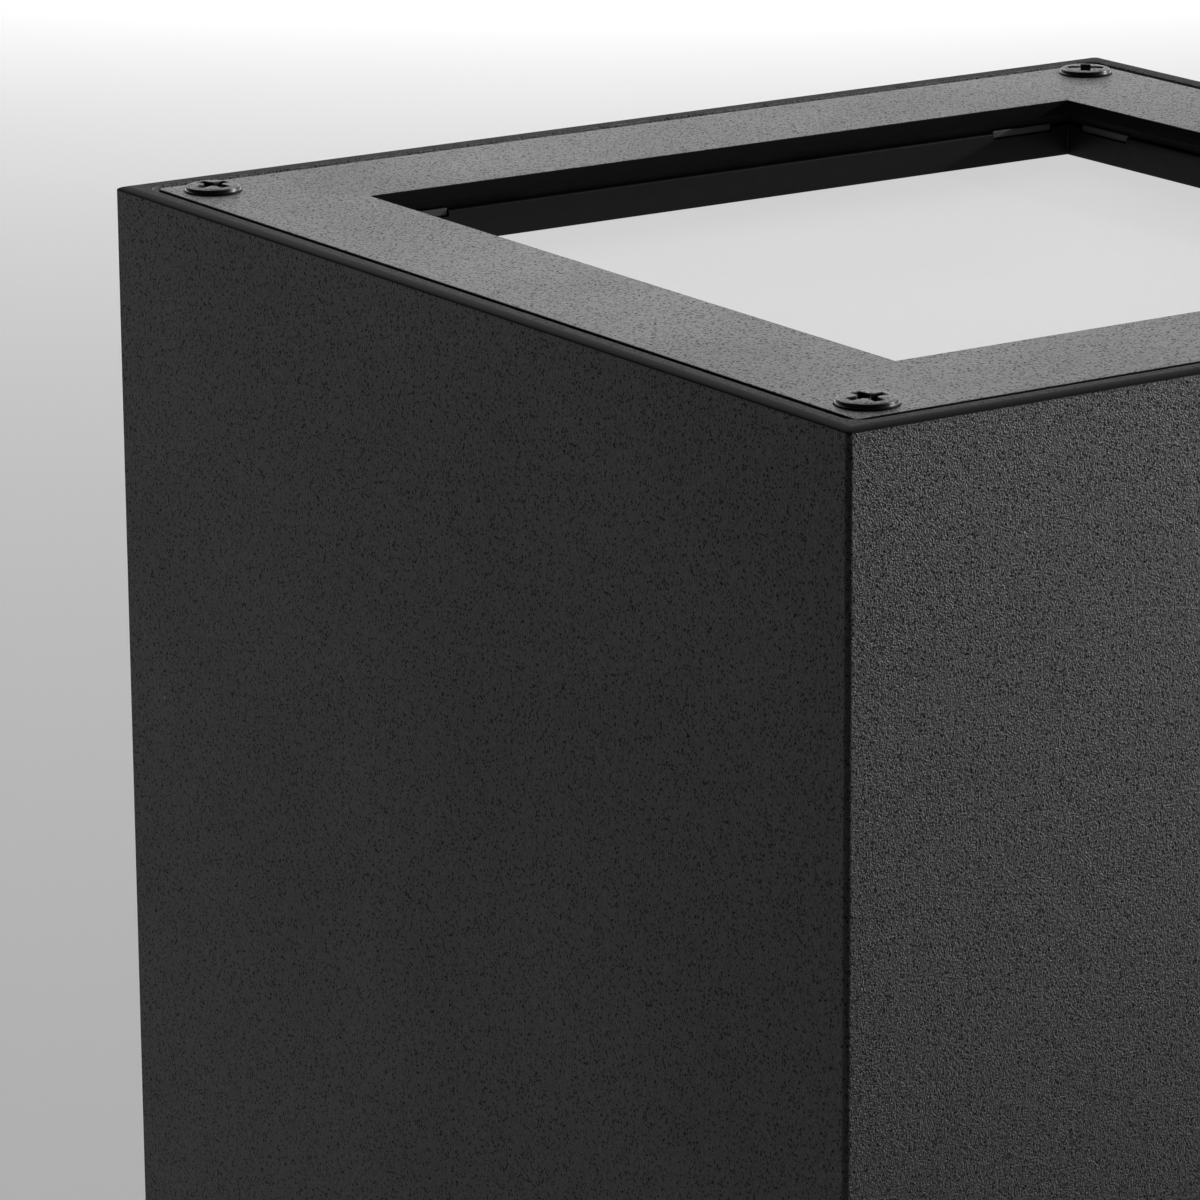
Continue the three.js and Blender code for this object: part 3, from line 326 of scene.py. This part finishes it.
class Nodes:
    """A short way to write a material's node tree."""

    def __init__(self, name):
        self.material = bpy.data.materials.new(name)
        self.material.use_nodes = True
        self.tree = self.material.node_tree
        self.shader = self.tree.nodes["Principled BSDF"]
        self.place = self.add("ShaderNodeTexCoord").outputs["Object"]

    def connect(self, value, socket):
        """Gives a socket a number or colour, or links another node's output to it."""
        if isinstance(value, bpy.types.NodeSocket):
            self.tree.links.new(value, socket)
        else:
            socket.default_value = value

    def add(self, kind, settings=None, **inputs):
        """A node with its settings; an input is named, or numbered as in0, in1 and so on."""
        node = self.tree.nodes.new(kind)
        for key, value in (settings or {}).items():
            setattr(node, key, value)
        for key, value in inputs.items():
            self.connect(value, node.inputs[int(key[2:]) if key.startswith("in") else key])
        return node

    def moved(self, offset):
        """The object's coordinates, shifted."""
        return self.add("ShaderNodeMapping", Vector=self.place, Location=offset).outputs[0]

    def noise(self, scale, detail=2.0, roughness=0.5, offset=None):
        place = self.place if offset is None else self.moved(offset)
        return self.add(
            "ShaderNodeTexNoise", Vector=place, Scale=scale, Detail=detail, Roughness=roughness
        ).outputs["Fac"]

    def cells(self, scale):
        """Distance from the middle of the nearest cell."""
        return self.add("ShaderNodeTexVoronoi", Vector=self.place, Scale=scale).outputs["Distance"]

    def math(self, operation, first, second=0.0, third=0.0):
        settings = {"operation": operation}
        return self.add("ShaderNodeMath", settings, in0=first, in1=second, in2=third).outputs[0]

    def spread(self, value, low, high, to_low=0.0, to_high=1.0):
        """The value's stretch from low to high, clamped and mapped to another one."""
        return self.add("ShaderNodeMapRange", **{
            "Value": value, "From Min": low, "From Max": high, "To Min": to_low, "To Max": to_high,
        }).outputs[0]

    def blend(self, share, first, second):
        """A colour between two colours."""
        mix = self.add("ShaderNodeMix", {"data_type": "RGBA"}, in0=share, in6=first, in7=second)
        return mix.outputs[2]

    def blend_value(self, share, first, second):
        """A number between two numbers."""
        return self.add("ShaderNodeMix", in0=share, in2=first, in3=second).outputs[0]

    def bump(self, height, strength, distance):
        return self.add(
            "ShaderNodeBump", Strength=strength, Distance=distance, Height=height
        ).outputs["Normal"]

    def finish(self, **inputs):
        for key, value in inputs.items():
            self.connect(value, self.shader.inputs[key.replace("_", " ")])
        return self.material


def grey(value, tint=0.0):
    """A neutral colour; a positive tint makes it a little bluer."""
    return (value * (1 - tint), value, value * (1 + tint), 1.0)


def from_axis(nodes):
    """How far a point is from the body's middle planes, in metres: |x|, |y| and |z|."""
    apart = nodes.add("ShaderNodeSeparateXYZ", Vector=nodes.moved((0, -BODY_Y, 0)))
    return [nodes.math("ABSOLUTE", apart.outputs[axis]) for axis in range(3)]


# ---------------------------------------------------------------- powder coat and screw steel

GRAIN_SCALE = 6000              # noise periods in a metre
GRAIN_DEPTH = 0.15 * MM
GRAINS_IN_A_LUMP = 2.7
GRAINS_IN_A_PIT_FIELD = 5
PIT_SCALE = 2700                # pits in a metre
LINT_SCALE = 60                 # pale specks of dust in a metre


def coat_surface(nodes, scale=1.0):
    """Grain height, colour, pits (0 in a pit, 1 outside) and roughness of the fine-textured coat; the
    colour carries painted shade in the pits and low grain.
    """
    grain = nodes.noise(GRAIN_SCALE * scale, detail=2.0, roughness=0.6)
    lumps = nodes.noise(GRAIN_SCALE * scale / GRAINS_IN_A_LUMP, detail=1.0, offset=(0.3, 0.1, 0.2))
    height = nodes.math("MULTIPLY_ADD", lumps, 0.5, grain)
    field = nodes.noise(GRAIN_SCALE / GRAINS_IN_A_PIT_FIELD, detail=2.0)
    crowded = nodes.spread(field, 0.35, 0.65, -0.08, 0.08)
    pits = nodes.spread(nodes.math("ADD", nodes.cells(PIT_SCALE * scale), crowded), 0.18, 0.36)
    # Painted shade: the colour is darker in the low grain and the pits and lighter on the grain tops,
    # following the relief; the pale specks are dust.
    colour = nodes.blend(nodes.spread(height, 0.5, 1.0), grey(0.012, 0.02), grey(0.026, 0.03))
    colour = nodes.blend(pits, grey(0.009), colour)
    lint = nodes.spread(nodes.cells(LINT_SCALE), 0.008, 0.012, 0.35, 0.0)
    colour = nodes.blend(lint, colour, grey(0.5))
    patches = nodes.noise(38, detail=3)
    rough = nodes.spread(patches, 0.3, 0.7, 0.46, 0.52)
    rough = nodes.math("MULTIPLY_ADD", nodes.spread(pits, 0, 1, 1, 0), 0.3, rough)
    return height, colour, pits, rough


def tube_shade_masks(nodes):
    """Two masks on the tube: where the coat is thin and smooth and its colour painted darker as shade,
    from 0 (thin, shaded) to 1, and the rim's flat land.

    The rim's rounding is thin-coated and painted darkest as shade, and the upright edges are painted a
    little darker than the faces.
    """
    x, y, below_rim = (
        nodes.math("SUBTRACT", reach, outward)
        for outward, reach in zip(from_axis(nodes), (HALF, HALF, RIM))
    )
    upright_edge = nodes.math("MAXIMUM", x, y)
    rim_edge = nodes.math("MINIMUM", upright_edge, below_rim)
    edge = nodes.math("MAXIMUM", nodes.math("MINIMUM", x, y), rim_edge)
    round_end = nodes.spread(below_rim, 0.0, RIM_ROUND[1], *RIM_ROUND)
    rim_shade_mask = nodes.spread(nodes.math("SUBTRACT", edge, round_end), -0.03 * MM, 0.06 * MM)
    edge_shade_mask = nodes.spread(edge, EDGE_ROUND * 0.85, EDGE_ROUND * 1.1, 0.7, 1.0)
    away_from_rim = nodes.spread(below_rim, 0.35 * MM, 0.6 * MM)
    land = nodes.spread(below_rim, 0.01 * MM, 0.04 * MM, 1.0, 0.0)
    return nodes.blend_value(away_from_rim, rim_shade_mask, edge_shade_mask), land


def cover_cut_shade_mask(nodes):
    """Mask on a cover frame: 0 on the cut faces of its window and its outline, where the coat is thin and
    its colour painted darker as shade, 1 elsewhere.
    """
    x, y, _ = from_axis(nodes)
    widest = nodes.math("MAXIMUM", x, y)
    from_window = nodes.math("SUBTRACT", widest, WINDOW_HALF)
    from_outline = nodes.math("SUBTRACT", COVER_HALF, widest)
    return nodes.spread(nodes.math("MINIMUM", from_window, from_outline), 0.06 * MM, 0.12 * MM)


def powder_coat(name, kind=None):
    """Fine-textured matt anthracite: grains about 0.2 mm across with pits between them.

    It is thin and smooth over the tube's rounded edges and on a cover's cut faces, and its colour is
    painted darker there as shade.
    """
    nodes = Nodes(name)
    height, colour, pits, rough = coat_surface(nodes)
    specular = nodes.blend_value(pits, 0.12, nodes.spread(height, 0.5, 1.0, 0.25, 0.72))
    strength = 1.0
    if kind == "tube":
        coat_shade_mask, land = tube_shade_masks(nodes)
        rough = nodes.math("MAXIMUM", rough, nodes.math("MULTIPLY", land, 0.85))
        specular = nodes.math("MULTIPLY", specular, nodes.spread(land, 0.0, 1.0, 1.0, 0.45))
        # Painted shade: the dark colour of the tube's thin-coated rounded edges.
        shaded_thin_coat = grey(0.0125, 0.02)
    if kind == "cover":
        coat_shade_mask = cover_cut_shade_mask(nodes)
        # Painted shade: the dark colour of the cover's thin-coated cut faces.
        shaded_thin_coat = grey(0.005, 0.02)
    if kind:
        colour = nodes.blend(coat_shade_mask, shaded_thin_coat, colour)
        rough = nodes.blend_value(coat_shade_mask, 0.6, rough)
        specular = nodes.blend_value(coat_shade_mask, 0.015, specular)
        strength = nodes.spread(coat_shade_mask, 0.0, 1.0, 0.08, 1.0)
    return nodes.finish(
        Base_Color=colour,
        Roughness=rough,
        Specular_IOR_Level=specular,
        Normal=nodes.bump(height, strength, GRAIN_DEPTH),
    )


def screw_steel():
    """Blackened steel, as grainy as the coat round it; smoother in the cross recess, whose colour is
    painted near black as shade, with worn steel at its heart.
    """
    nodes = Nodes("black_steel")
    height, colour, pits, rough = coat_surface(nodes, 1.15)
    x, y, z = from_axis(nodes)
    from_screw = nodes.add(
        "ShaderNodeCombineXYZ",
        X=nodes.math("SUBTRACT", x, SCREW_OFFSET), Y=nodes.math("SUBTRACT", y, SCREW_OFFSET))
    radius = nodes.add(
        "ShaderNodeVectorMath", {"operation": "LENGTH"}, in0=from_screw.outputs[0]
    ).outputs["Value"]
    in_head = nodes.spread(radius, 3.0 * MM, 3.1 * MM, 1.0, 0.0)
    sunk = nodes.spread(z, SCREW_TOP - 0.15 * MM, SCREW_TOP - 0.10 * MM, 1.0, 0.0)
    in_cross = nodes.math("MULTIPLY", in_head, sunk)
    heart = nodes.math("MULTIPLY", in_cross, nodes.spread(radius, 0.7 * MM, 0.9 * MM, 1.0, 0.0))
    worn = nodes.spread(nodes.noise(3500, detail=1.0, offset=(0.1, 0, 0)), 0.52, 0.6)
    glint = nodes.math("MULTIPLY", heart, worn)
    # Painted shade: the cross recess is coloured near black.
    colour = nodes.blend(in_cross, colour, grey(0.006))
    return nodes.finish(
        Base_Color=nodes.blend(glint, colour, grey(0.8)),
        Metallic=glint,
        Roughness=nodes.blend_value(in_cross, rough, 0.3),
        Specular_IOR_Level=nodes.blend_value(
            in_cross, nodes.spread(pits, 0.0, 1.0, 0.15, 0.5), 0.25),
        Normal=nodes.bump(height, nodes.spread(in_cross, 0.0, 1.0, 0.9, 0.15), GRAIN_DEPTH),
    )


# ---------------------------------------------------------------- other materials

def plastic(name, colour, roughness, specular=0.5):
    """A moulded plastic with a faint spark-eroded grain and slightly uneven colour."""
    nodes = Nodes(name)
    grain = nodes.noise(1800, detail=2)
    cloud = nodes.noise(60, detail=3)
    darker = tuple(channel * 0.9 for channel in colour[:3]) + (1.0,)
    return nodes.finish(
        Base_Color=nodes.blend(nodes.spread(cloud, 0.35, 0.65), darker, colour),
        Roughness=nodes.spread(grain, 0.3, 0.7, roughness - 0.05, roughness + 0.06),
        Specular_IOR_Level=specular,
        Normal=nodes.bump(grain, 0.3, 0.02 * MM),
    )


def rubber():
    """Black sealing rubber, matt, with a bloom of dust."""
    nodes = Nodes("black_rubber")
    grain = nodes.noise(1500, detail=4, roughness=0.6)
    bloom = nodes.noise(120, detail=4)
    return nodes.finish(
        Base_Color=nodes.blend(nodes.spread(bloom, 0.4, 0.75), grey(0.006), grey(0.014)),
        Roughness=nodes.spread(grain, 0.3, 0.7, 0.7, 0.9),
        Specular_IOR_Level=0.15,
        Normal=nodes.bump(grain, 0.4, 0.05 * MM),
    )


def opal():
    """Satin opal pane with a painted glow: an even emission that brightens it and hides the shade of the
    recess walls.
    """
    nodes = Nodes("opal")
    satin = nodes.noise(2400, detail=2)
    cloud = nodes.noise(25, detail=2)
    specks = nodes.spread(nodes.cells(LINT_SCALE), 0.010, 0.016, 0.35, 0.0)
    return nodes.finish(
        Base_Color=nodes.blend(specks, grey(0.03), grey(0.02)),
        Roughness=nodes.spread(satin, 0.3, 0.7, 0.6, 0.7),
        Specular_IOR_Level=0.1,
        # Painted glow: an even emission stands in for light spread through the pane and hides the shade of
        # the recess walls.
        Emission_Color=nodes.blend(nodes.spread(cloud, 0.3, 0.7), grey(0.97), grey(1.0)),
        Emission_Strength=0.615,
        Normal=nodes.bump(satin, 0.08, 0.02 * MM),
    )


def metal(name, value, roughness, streak_axis):
    """An uncoated metal with a fine grain that is drawn out along one axis."""
    nodes = Nodes(name)
    stretch = [900, 900, 900]
    stretch[streak_axis] = 40
    drawn = nodes.add("ShaderNodeMapping", Vector=nodes.place, Scale=tuple(stretch)).outputs[0]
    streaks = nodes.add("ShaderNodeTexNoise", Vector=drawn, Scale=1.0, Detail=4.0).outputs["Fac"]
    spangle = nodes.spread(nodes.cells(160), 0.0, 0.9)
    return nodes.finish(
        Base_Color=nodes.blend(spangle, grey(value), grey(value * 0.82)),
        Metallic=1.0,
        Roughness=nodes.spread(streaks, 0.3, 0.7, roughness - 0.06, roughness + 0.08),
        Normal=nodes.bump(streaks, 0.25, 0.03 * MM),
    )


def circuit_board():
    """White solder mask with the faint relief of the tracks under it."""
    nodes = Nodes("circuit_board")
    tracks = nodes.add(
        "ShaderNodeTexBrick", Vector=nodes.place, Scale=120.0, **{"Mortar Size": 0.03}
    ).outputs["Fac"]
    return nodes.finish(
        Base_Color=nodes.blend(tracks, grey(0.78), grey(0.7)),
        Roughness=nodes.spread(nodes.noise(500), 0.3, 0.7, 0.25, 0.35),
        Normal=nodes.bump(tracks, 0.3, 0.03 * MM),
    )


materials = {
    "powder_coat": powder_coat("powder_coat"),
    "powder_coat_tube": powder_coat("powder_coat_tube", "tube"),
    "powder_coat_cover": powder_coat("powder_coat_cover", "cover"),
    "black_steel": screw_steel(),
    "zinc_steel": metal("zinc_steel", 0.55, 0.32, streak_axis=2),
    "aluminium": metal("aluminium", 0.62, 0.38, streak_axis=0),
    "black_rubber": rubber(),
    "black_plastic": plastic("black_plastic", grey(0.012), 0.38),
    "black_plastic_recess": plastic("black_plastic_recess", grey(0.004), 0.45, specular=0.1),
    "clip_plastic": plastic("clip_plastic", grey(0.026), 0.45, specular=0.4),
    "opal": opal(),
    "white_plastic": plastic("white_plastic", grey(0.8), 0.4),
    "grey_plastic": plastic("grey_plastic", grey(0.42, 0.02), 0.45),
    "orange_plastic": plastic("orange_plastic", (0.72, 0.22, 0.02, 1), 0.35),
    "circuit_board": circuit_board(),
    "wire_brown": plastic("wire_brown", (0.12, 0.045, 0.02, 1), 0.4),
    "wire_blue": plastic("wire_blue", (0.02, 0.09, 0.35, 1), 0.4),
    "wire_green": plastic("wire_green", (0.12, 0.3, 0.03, 1), 0.4),
    "wire_red": plastic("wire_red", (0.35, 0.02, 0.015, 1), 0.4),
}


# ---------------------------------------------------------------- body and covers

def body_tube():
    """The square tube with rounded edges and rims, and a holed rear wall."""
    inner = HALF - WALL
    across, down = RIM_ROUND
    upper_half = []
    for x, z in quarter_arc((0, 0), 1, 0, steps=8):
        upper_half.append((HALF - across * (1 - x), RIM - down * (1 - z), EDGE_ROUND))
    for x, z in quarter_arc((inner + INSIDE_RIM, RIM - INSIDE_RIM), INSIDE_RIM, 90, steps=3):
        upper_half.append((x, z, INNER_CORNER + (x - inner)))
    lower_half = [(x, -z, corner) for x, z, corner in reversed(upper_half)]
    tube = square_loft("body_square_tube", upper_half + lower_half)

    def through_rear(x, z, radius):
        return rod((x, REAR_Y - 4 * MM, z), (x, REAR_Y + MM, z), radius, 48)

    holes = [
        through_rear(x, z, BASE_SCREW_HOLE)
        for x in (-BASE_SCREW_X, BASE_SCREW_X) for z in (-BASE_SCREW_Z, BASE_SCREW_Z)
    ]
    holes.append(through_rear(*LEAD_HOLE))
    combine(tube, holes, "DIFFERENCE")
    smoothed(tube)
    hand_over(tube, "body_tube", "powder_coat_tube")


def cover_frame(end, sign):
    """Flush cover of 1.5 mm sheet with a square window and four countersunk holes."""
    node = f"{end}_cover_frame"
    low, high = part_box(node)
    outer_face = high.z if sign > 0 else low.z
    cover = hoop(
        f"{end}_cover_plate", node, COVER_HALF, WINDOW_HALF,
        outer_round=0.15 * MM, inner_round=0.12 * MM, outer_corner=0.6 * MM, inner_corner=0.05 * MM)
    sink_section = [
        (0, -3 * MM), (SINK_THROAT, -3 * MM), (SINK_THROAT, SINK_THROAT - SINK_MOUTH),
        (SINK_MOUTH, 0), (SINK_MOUTH, MM), (0, MM),
    ]
    sinks = []
    for x in (-SCREW_OFFSET, SCREW_OFFSET):
        for y in (-SCREW_OFFSET, SCREW_OFFSET):
            sink = turned("sink", sink_section, 48)
            there = Matrix.Translation((x, BODY_Y + y, outer_face))
            sinks.append(place(sink, there @ end_over_end(sign)))
    combine(cover, sinks, "DIFFERENCE")
    smoothed(cover)
    hand_over(cover, node, "powder_coat_cover")


# ---------------------------------------------------------------- cover screws

# Radius and height of the head's surface above its seat, in mm: flange, step, side, crown
HEAD_SECTION = [
    (2.72, 0.0), (2.72, 0.14), (2.69, 0.17), (2.61, 0.18), (2.59, 0.21), (2.57, 0.42), (2.54, 0.48),
    (2.47, 0.52), (2.35, 0.55), (2.0, 0.59), (1.5, 0.62), (0.9, 0.64), (0.4, 0.65), (0, 0.65),
]


def cross_recess(top):
    """A tapered cross-shaped cutter for a screw head, with a pointed core."""
    floor, past = top - CROSS_DEPTH, top + 0.3 * MM
    cutters = []
    for turn in (0, math.pi / 2):
        rings = []
        for share, z in ((0.42, floor), (1.0, past)):
            reach = CROSS_REACH * share
            side = CROSS_HALF_WIDTH * (0.55 + 0.45 * share)
            rings.append([
                (x * math.cos(turn) - y * math.sin(turn), x * math.sin(turn) + y * math.cos(turn), z)
                for x, y in ((reach, side), (-reach, side), (-reach, -side), (reach, -side))
            ])
        cutters.append(loft("cutter", rings))
    core = [(0, floor - 0.35 * MM), (0.5 * MM, floor), (1.0 * MM, past), (0, past)]
    return cutters + [turned("core", core, 24)]


def raised_screw(name, node, turn_deg, sign):
    """M3 screw with a low raised head: a stepped side, a nearly flat top and a cross recess."""
    low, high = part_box(node)
    centre = (low + high) / 2
    tip = HEAD_HEIGHT - (high.z - low.z)
    shank = [
        (0, tip), (TIP_RADIUS, tip), (SHANK_RADIUS, tip + TIP_LENGTH), (SHANK_RADIUS, -1.2 * MM),
    ]
    head = [(radius * MM, height * MM) for radius, height in HEAD_SECTION]
    screw = turned(name, shank + head, 72)
    combine(screw, cross_recess(HEAD_HEIGHT), "DIFFERENCE")
    seat = high.z - HEAD_HEIGHT if sign > 0 else low.z + HEAD_HEIGHT
    spin = Matrix.Rotation(math.radians(turn_deg), 4, "Z")
    place(screw, Matrix.Translation((centre.x, centre.y, seat)) @ end_over_end(sign) @ spin)
    smoothed(screw, 32)
    hand_over(screw, node, "black_steel")


# ---------------------------------------------------------------- recess and pane

def clip_boxes(sign, inside, outside, shrink):
    """Corners of the eight boxes near the recess frame's corners, two on each side of it."""
    top = RIM - CLIP_BELOW_RIM
    clear_of_edge = 0.001 * MM
    near = RECESS_HALF - (CLIP_FROM_CORNER + CLIP_LENGTH) + shrink
    far = RECESS_HALF - CLIP_FROM_CORNER - shrink
    z0, z1 = sorted((sign * (top - CLIP_HEIGHT + shrink), sign * (top - clear_of_edge - shrink)))
    boxes = []
    for side in (-1, 1):
        for corner in (-1, 1):
            across = sorted((side * (RECESS_HALF + inside), side * (RECESS_HALF + outside)))
            along = sorted((corner * near, corner * far))
            for (x0, x1), (y0, y1) in ((across, along), (along, across)):
                boxes.append(((x0, BODY_Y + y0, z0), (x1, BODY_Y + y1, z1)))
    return boxes


def recess_frame(end, sign):
    """Black moulded hoop round the sunken pane, with clip slots near its corners."""
    node = f"{end}_recess_frame"
    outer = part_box(node)[1].x
    frame_hoop = hoop(
        f"{end}_recess_hoop", node, outer, RECESS_HALF,
        outer_round=0.2 * MM, inner_round=0.15 * MM, outer_corner=0.1 * MM, inner_corner=0.1 * MM)
    slots = [block("slot", low, high) for low, high in clip_boxes(sign, -MM, CLIP_SLOT_DEPTH, 0)]
    combine(frame_hoop, slots, "DIFFERENCE")
    smoothed(frame_hoop)
    hand_over(frame_hoop, node, "black_plastic_recess")


def clip_noses(end, sign):
    """Paler noses of the light well's clips, seen in the recess frame's slots."""
    noses = clip_boxes(sign, 0.25 * MM, 1.15 * MM, CLIP_PLAY)
    for number, (low, high) in enumerate(noses):
        nose = block(f"{end}_clip_nose_{number + 1}", low, high)
        nose.data.materials.append(materials["clip_plastic"])
        bevelled(nose, 0.12 * MM, 3)
        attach(nose, ROOT)


def diffuser(end):
    """Opal pane with ground edges."""
    node = f"{end}_diffuser"
    low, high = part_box(node)
    edge = 0.4 * MM
    middle = high.x * 0.2
    section = [(middle, low.z, 0.1 * MM)]
    for up, start_deg in ((low.z + edge, 270), (high.z - edge, 0)):
        for x, z in quarter_arc((high.x - edge, up), edge, start_deg):
            section.append((x, z, MM))
    section.append((middle, high.z, 0.1 * MM))
    pane = square_loft(f"{end}_pane", section, closed=False, steps=6)
    smoothed(pane)
    hand_over(pane, node, "opal")


# ---------------------------------------------------------------- wall side

def wall_bracket():
    """Zinc-plated steel plate with four fixing slots, a cable hole and two ears for the locking screws."""
    node = "wall_bracket"
    low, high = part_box(node)
    back = high.y - BRACKET_SHEET
    past_back, past_front = back - MM, high.y + MM
    bracket = upright_plate(
        "wall_bracket_plate", high.x, high.z, BRACKET_CORNER, back, high.y, chamfer=0.15 * MM)
    ears = [
        block("ear", (x, low.y, -EAR_HALF), (x + BRACKET_SHEET, back + MM, EAR_HALF))
        for x in (low.x, high.x - BRACKET_SHEET)
    ]
    combine(bracket, ears, "UNION")
    slots = (
        (0, FIXING_Z, FIXING_LONG, FIXING_SHORT),
        (0, -FIXING_Z, FIXING_LONG, FIXING_SHORT),
        (FIXING_X, 0, FIXING_SHORT, FIXING_LONG),
        (-FIXING_X, 0, FIXING_SHORT, FIXING_LONG),
    )
    holes = []
    for x, z, half_x, half_z in slots:
        slot = upright_plate("slot", half_x, half_z, FIXING_SHORT * 0.98, past_back, past_front, 0)
        holes.append(place(slot, Matrix.Translation((x, 0, z))))
    holes.append(
        rod((0, past_back, CABLE_HOLE_Z), (0, past_front, CABLE_HOLE_Z), CABLE_HOLE_RADIUS, 72))
    holes.append(rod((low.x - MM, LOCKING_Y, 0), (high.x + MM, LOCKING_Y, 0), LOCKING_HOLE, 48))
    combine(bracket, holes, "DIFFERENCE")
    smoothed(bracket)
    hand_over(bracket, node, "zinc_steel")


# Radius of the cable bush's surface and its distance from the wall, in mm
BUSH_SECTION = [
    (3.7, 0.6), (9.5, 0.6), (9.7, 0.8), (9.7, 2.2), (12.5, 2.2), (12.7, 2.4), (12.7, 3.8),
    (12.4, 4.1), (6.8, 5.9), (6.4, 6.0), (3.7, 6.0), (3.5, 5.8), (3.5, 0.8),
]


def cable_membrane():
    """Rubber bush in the bracket's cable hole: a sleeve, a flange and a tapering collar."""
    node = "cable_membrane"
    nearest_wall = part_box(node)[1].y
    first_distance = BUSH_SECTION[0][1]
    rings = []
    for radius, distance in BUSH_SECTION:
        y = nearest_wall - (distance - first_distance) * MM
        rings.append([(x, y, CABLE_HOLE_Z + z) for x, z in circle(radius * MM, 72)])
    bush = loft("cable_bush", rings, closed=True)
    smoothed(bush)
    hand_over(bush, node, "black_rubber")


body_tube()
for end, sign in ENDS:
    cover_frame(end, sign)
    recess_frame(end, sign)
    clip_noses(end, sign)
    diffuser(end)
    for corner, turn_deg in SCREW_TURNS.items():
        raised_screw(f"{end}_screw_{corner}", f"{end}_cover_screw_{corner}", turn_deg, sign)
wall_bracket()
cable_membrane()


# ---------------------------------------------------------------- CAD nodes that stay

for name, obj in frame["nodes"].items():
    if obj.hide_render:
        continue
    obj.data.materials.clear()
    obj.data.materials.append(materials[node_slots[name]])
    obj.data.polygons.foreach_set("use_smooth", [True] * len(obj.data.polygons))
    flatten = obj.modifiers.new("flat faces", "DECIMATE")
    flatten.decimate_type = "DISSOLVE"
    flatten.angle_limit = math.radians(1)
    bevelled(obj, 0.15 * MM)
    weigh = obj.modifiers.new("even shading", "WEIGHTED_NORMAL")
    weigh.keep_sharp = True


# ---------------------------------------------------------------- studio

FLOOR_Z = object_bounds()[0].z
FLOOR_RADIUS = 6
TOWARDS_BACKDROP = Vector((0.64, 0.74, 0.20)).normalized()


def studio_floor():
    """A wide plain pale floor."""
    nodes = Nodes("studio_floor")
    mottle = nodes.spread(nodes.noise(3, detail=3), 0.3, 0.7)
    ring = [(x, y, FLOOR_Z - 0.5 * MM) for x, y in circle(FLOOR_RADIUS, 96)]
    floor = new_object("studio_floor", ring, [tuple(range(len(ring)))])
    floor.data.materials.append(nodes.finish(
        Base_Color=nodes.blend(mottle, grey(0.78), grey(0.8)),
        Roughness=0.85,
        Specular_IOR_Level=0.1,
    ))


def studio_world():
    """A dark room with a wide bright backdrop behind the lantern."""
    world = bpy.data.worlds.new("studio")
    bpy.context.scene.world = world
    world.use_nodes = True
    tree = world.node_tree
    background = tree.nodes["Background"]
    background.inputs["Color"].default_value = (1, 1, 1, 1)
    direction = tree.nodes.new("ShaderNodeTexCoord").outputs["Generated"]
    towards = tree.nodes.new("ShaderNodeVectorMath")
    towards.operation = "DOT_PRODUCT"
    towards.inputs[1].default_value = TOWARDS_BACKDROP
    tree.links.new(direction, towards.inputs[0])
    glow = tree.nodes.new("ShaderNodeMapRange")
    glow.interpolation_type = "SMOOTHSTEP"
    for key, value in (("From Min", 0.3), ("From Max", 0.95), ("To Min", 0.07), ("To Max", 1.55)):
        glow.inputs[key].default_value = value
    tree.links.new(towards.outputs["Value"], glow.inputs["Value"])
    tree.links.new(glow.outputs[0], background.inputs["Strength"])


def lamp(name, light, location, target, power):
    """An object for a light, at a location and turned towards a target."""
    light.energy = power
    obj = bpy.data.objects.new(name, light)
    obj.location = location
    obj.rotation_euler = (Vector(target) - Vector(location)).to_track_quat("-Z", "Y").to_euler()
    bpy.context.scene.collection.objects.link(obj)
    return obj


def area_light(name, location, target, size, power):
    """A rectangular soft box that stays out of the picture."""
    light = bpy.data.lights.new(name, "AREA")
    light.shape = "RECTANGLE"
    light.size, light.size_y = size
    lamp(name, light, location, target, power).visible_camera = False


def spot_light(name, location, target, cone_deg, radius, power):
    """A narrow soft-edged beam."""
    light = bpy.data.lights.new(name, "SPOT")
    light.spot_size = math.radians(cone_deg)
    light.spot_blend = 1.0
    light.shadow_soft_size = radius
    lamp(name, light, location, target, power)


def studio_camera():
    """A long lens in front of the near upper corner, to its left, looking down by 15.5 degrees."""
    yaw, down, roll = math.radians(33.63), math.radians(15.49), math.radians(0.37)
    near_corner = Vector((-HALF, BODY_Y - HALF, RIM))
    from_corner = Vector((-274.6, -376.7, 115.1)) * MM
    forward = Vector((math.sin(yaw) * math.cos(down), math.cos(yaw) * math.cos(down), -math.sin(down)))
    right = Vector((math.cos(yaw), -math.sin(yaw), 0))
    below = forward.cross(right)
    image_right = math.cos(roll) * right + math.sin(roll) * below
    image_up = math.sin(roll) * right - math.cos(roll) * below
    turn = Matrix((image_right, image_up, -forward)).transposed().to_4x4()
    data = bpy.data.cameras.new("photo_view")
    data.lens = 179.43
    data.sensor_width = 36
    data.clip_start = 0.01
    camera = bpy.data.objects.new("photo_view", data)
    camera.matrix_world = Matrix.Translation(near_corner + from_corner) @ turn
    bpy.context.scene.collection.objects.link(camera)
    bpy.context.scene.camera = camera


studio_floor()
studio_world()
area_light(
    "backdrop_light", location=(1.18, 1.42, 0.32), target=(1.18, 1.42, FLOOR_Z),
    size=(0.9, 0.6), power=9.5)
area_light(
    "fill_light", location=(0.4, 1.75, 1.3), target=(0.45, 0.9, FLOOR_Z),
    size=(1.5, 1.0), power=10.5)
spot_light(
    "side_light", location=(2.16, -0.73, 0.85), target=(-0.08, BODY_Y, 0.08),
    cone_deg=10, radius=0.05, power=285)
studio_camera()
bpy.context.scene.view_settings.view_transform = "Standard"
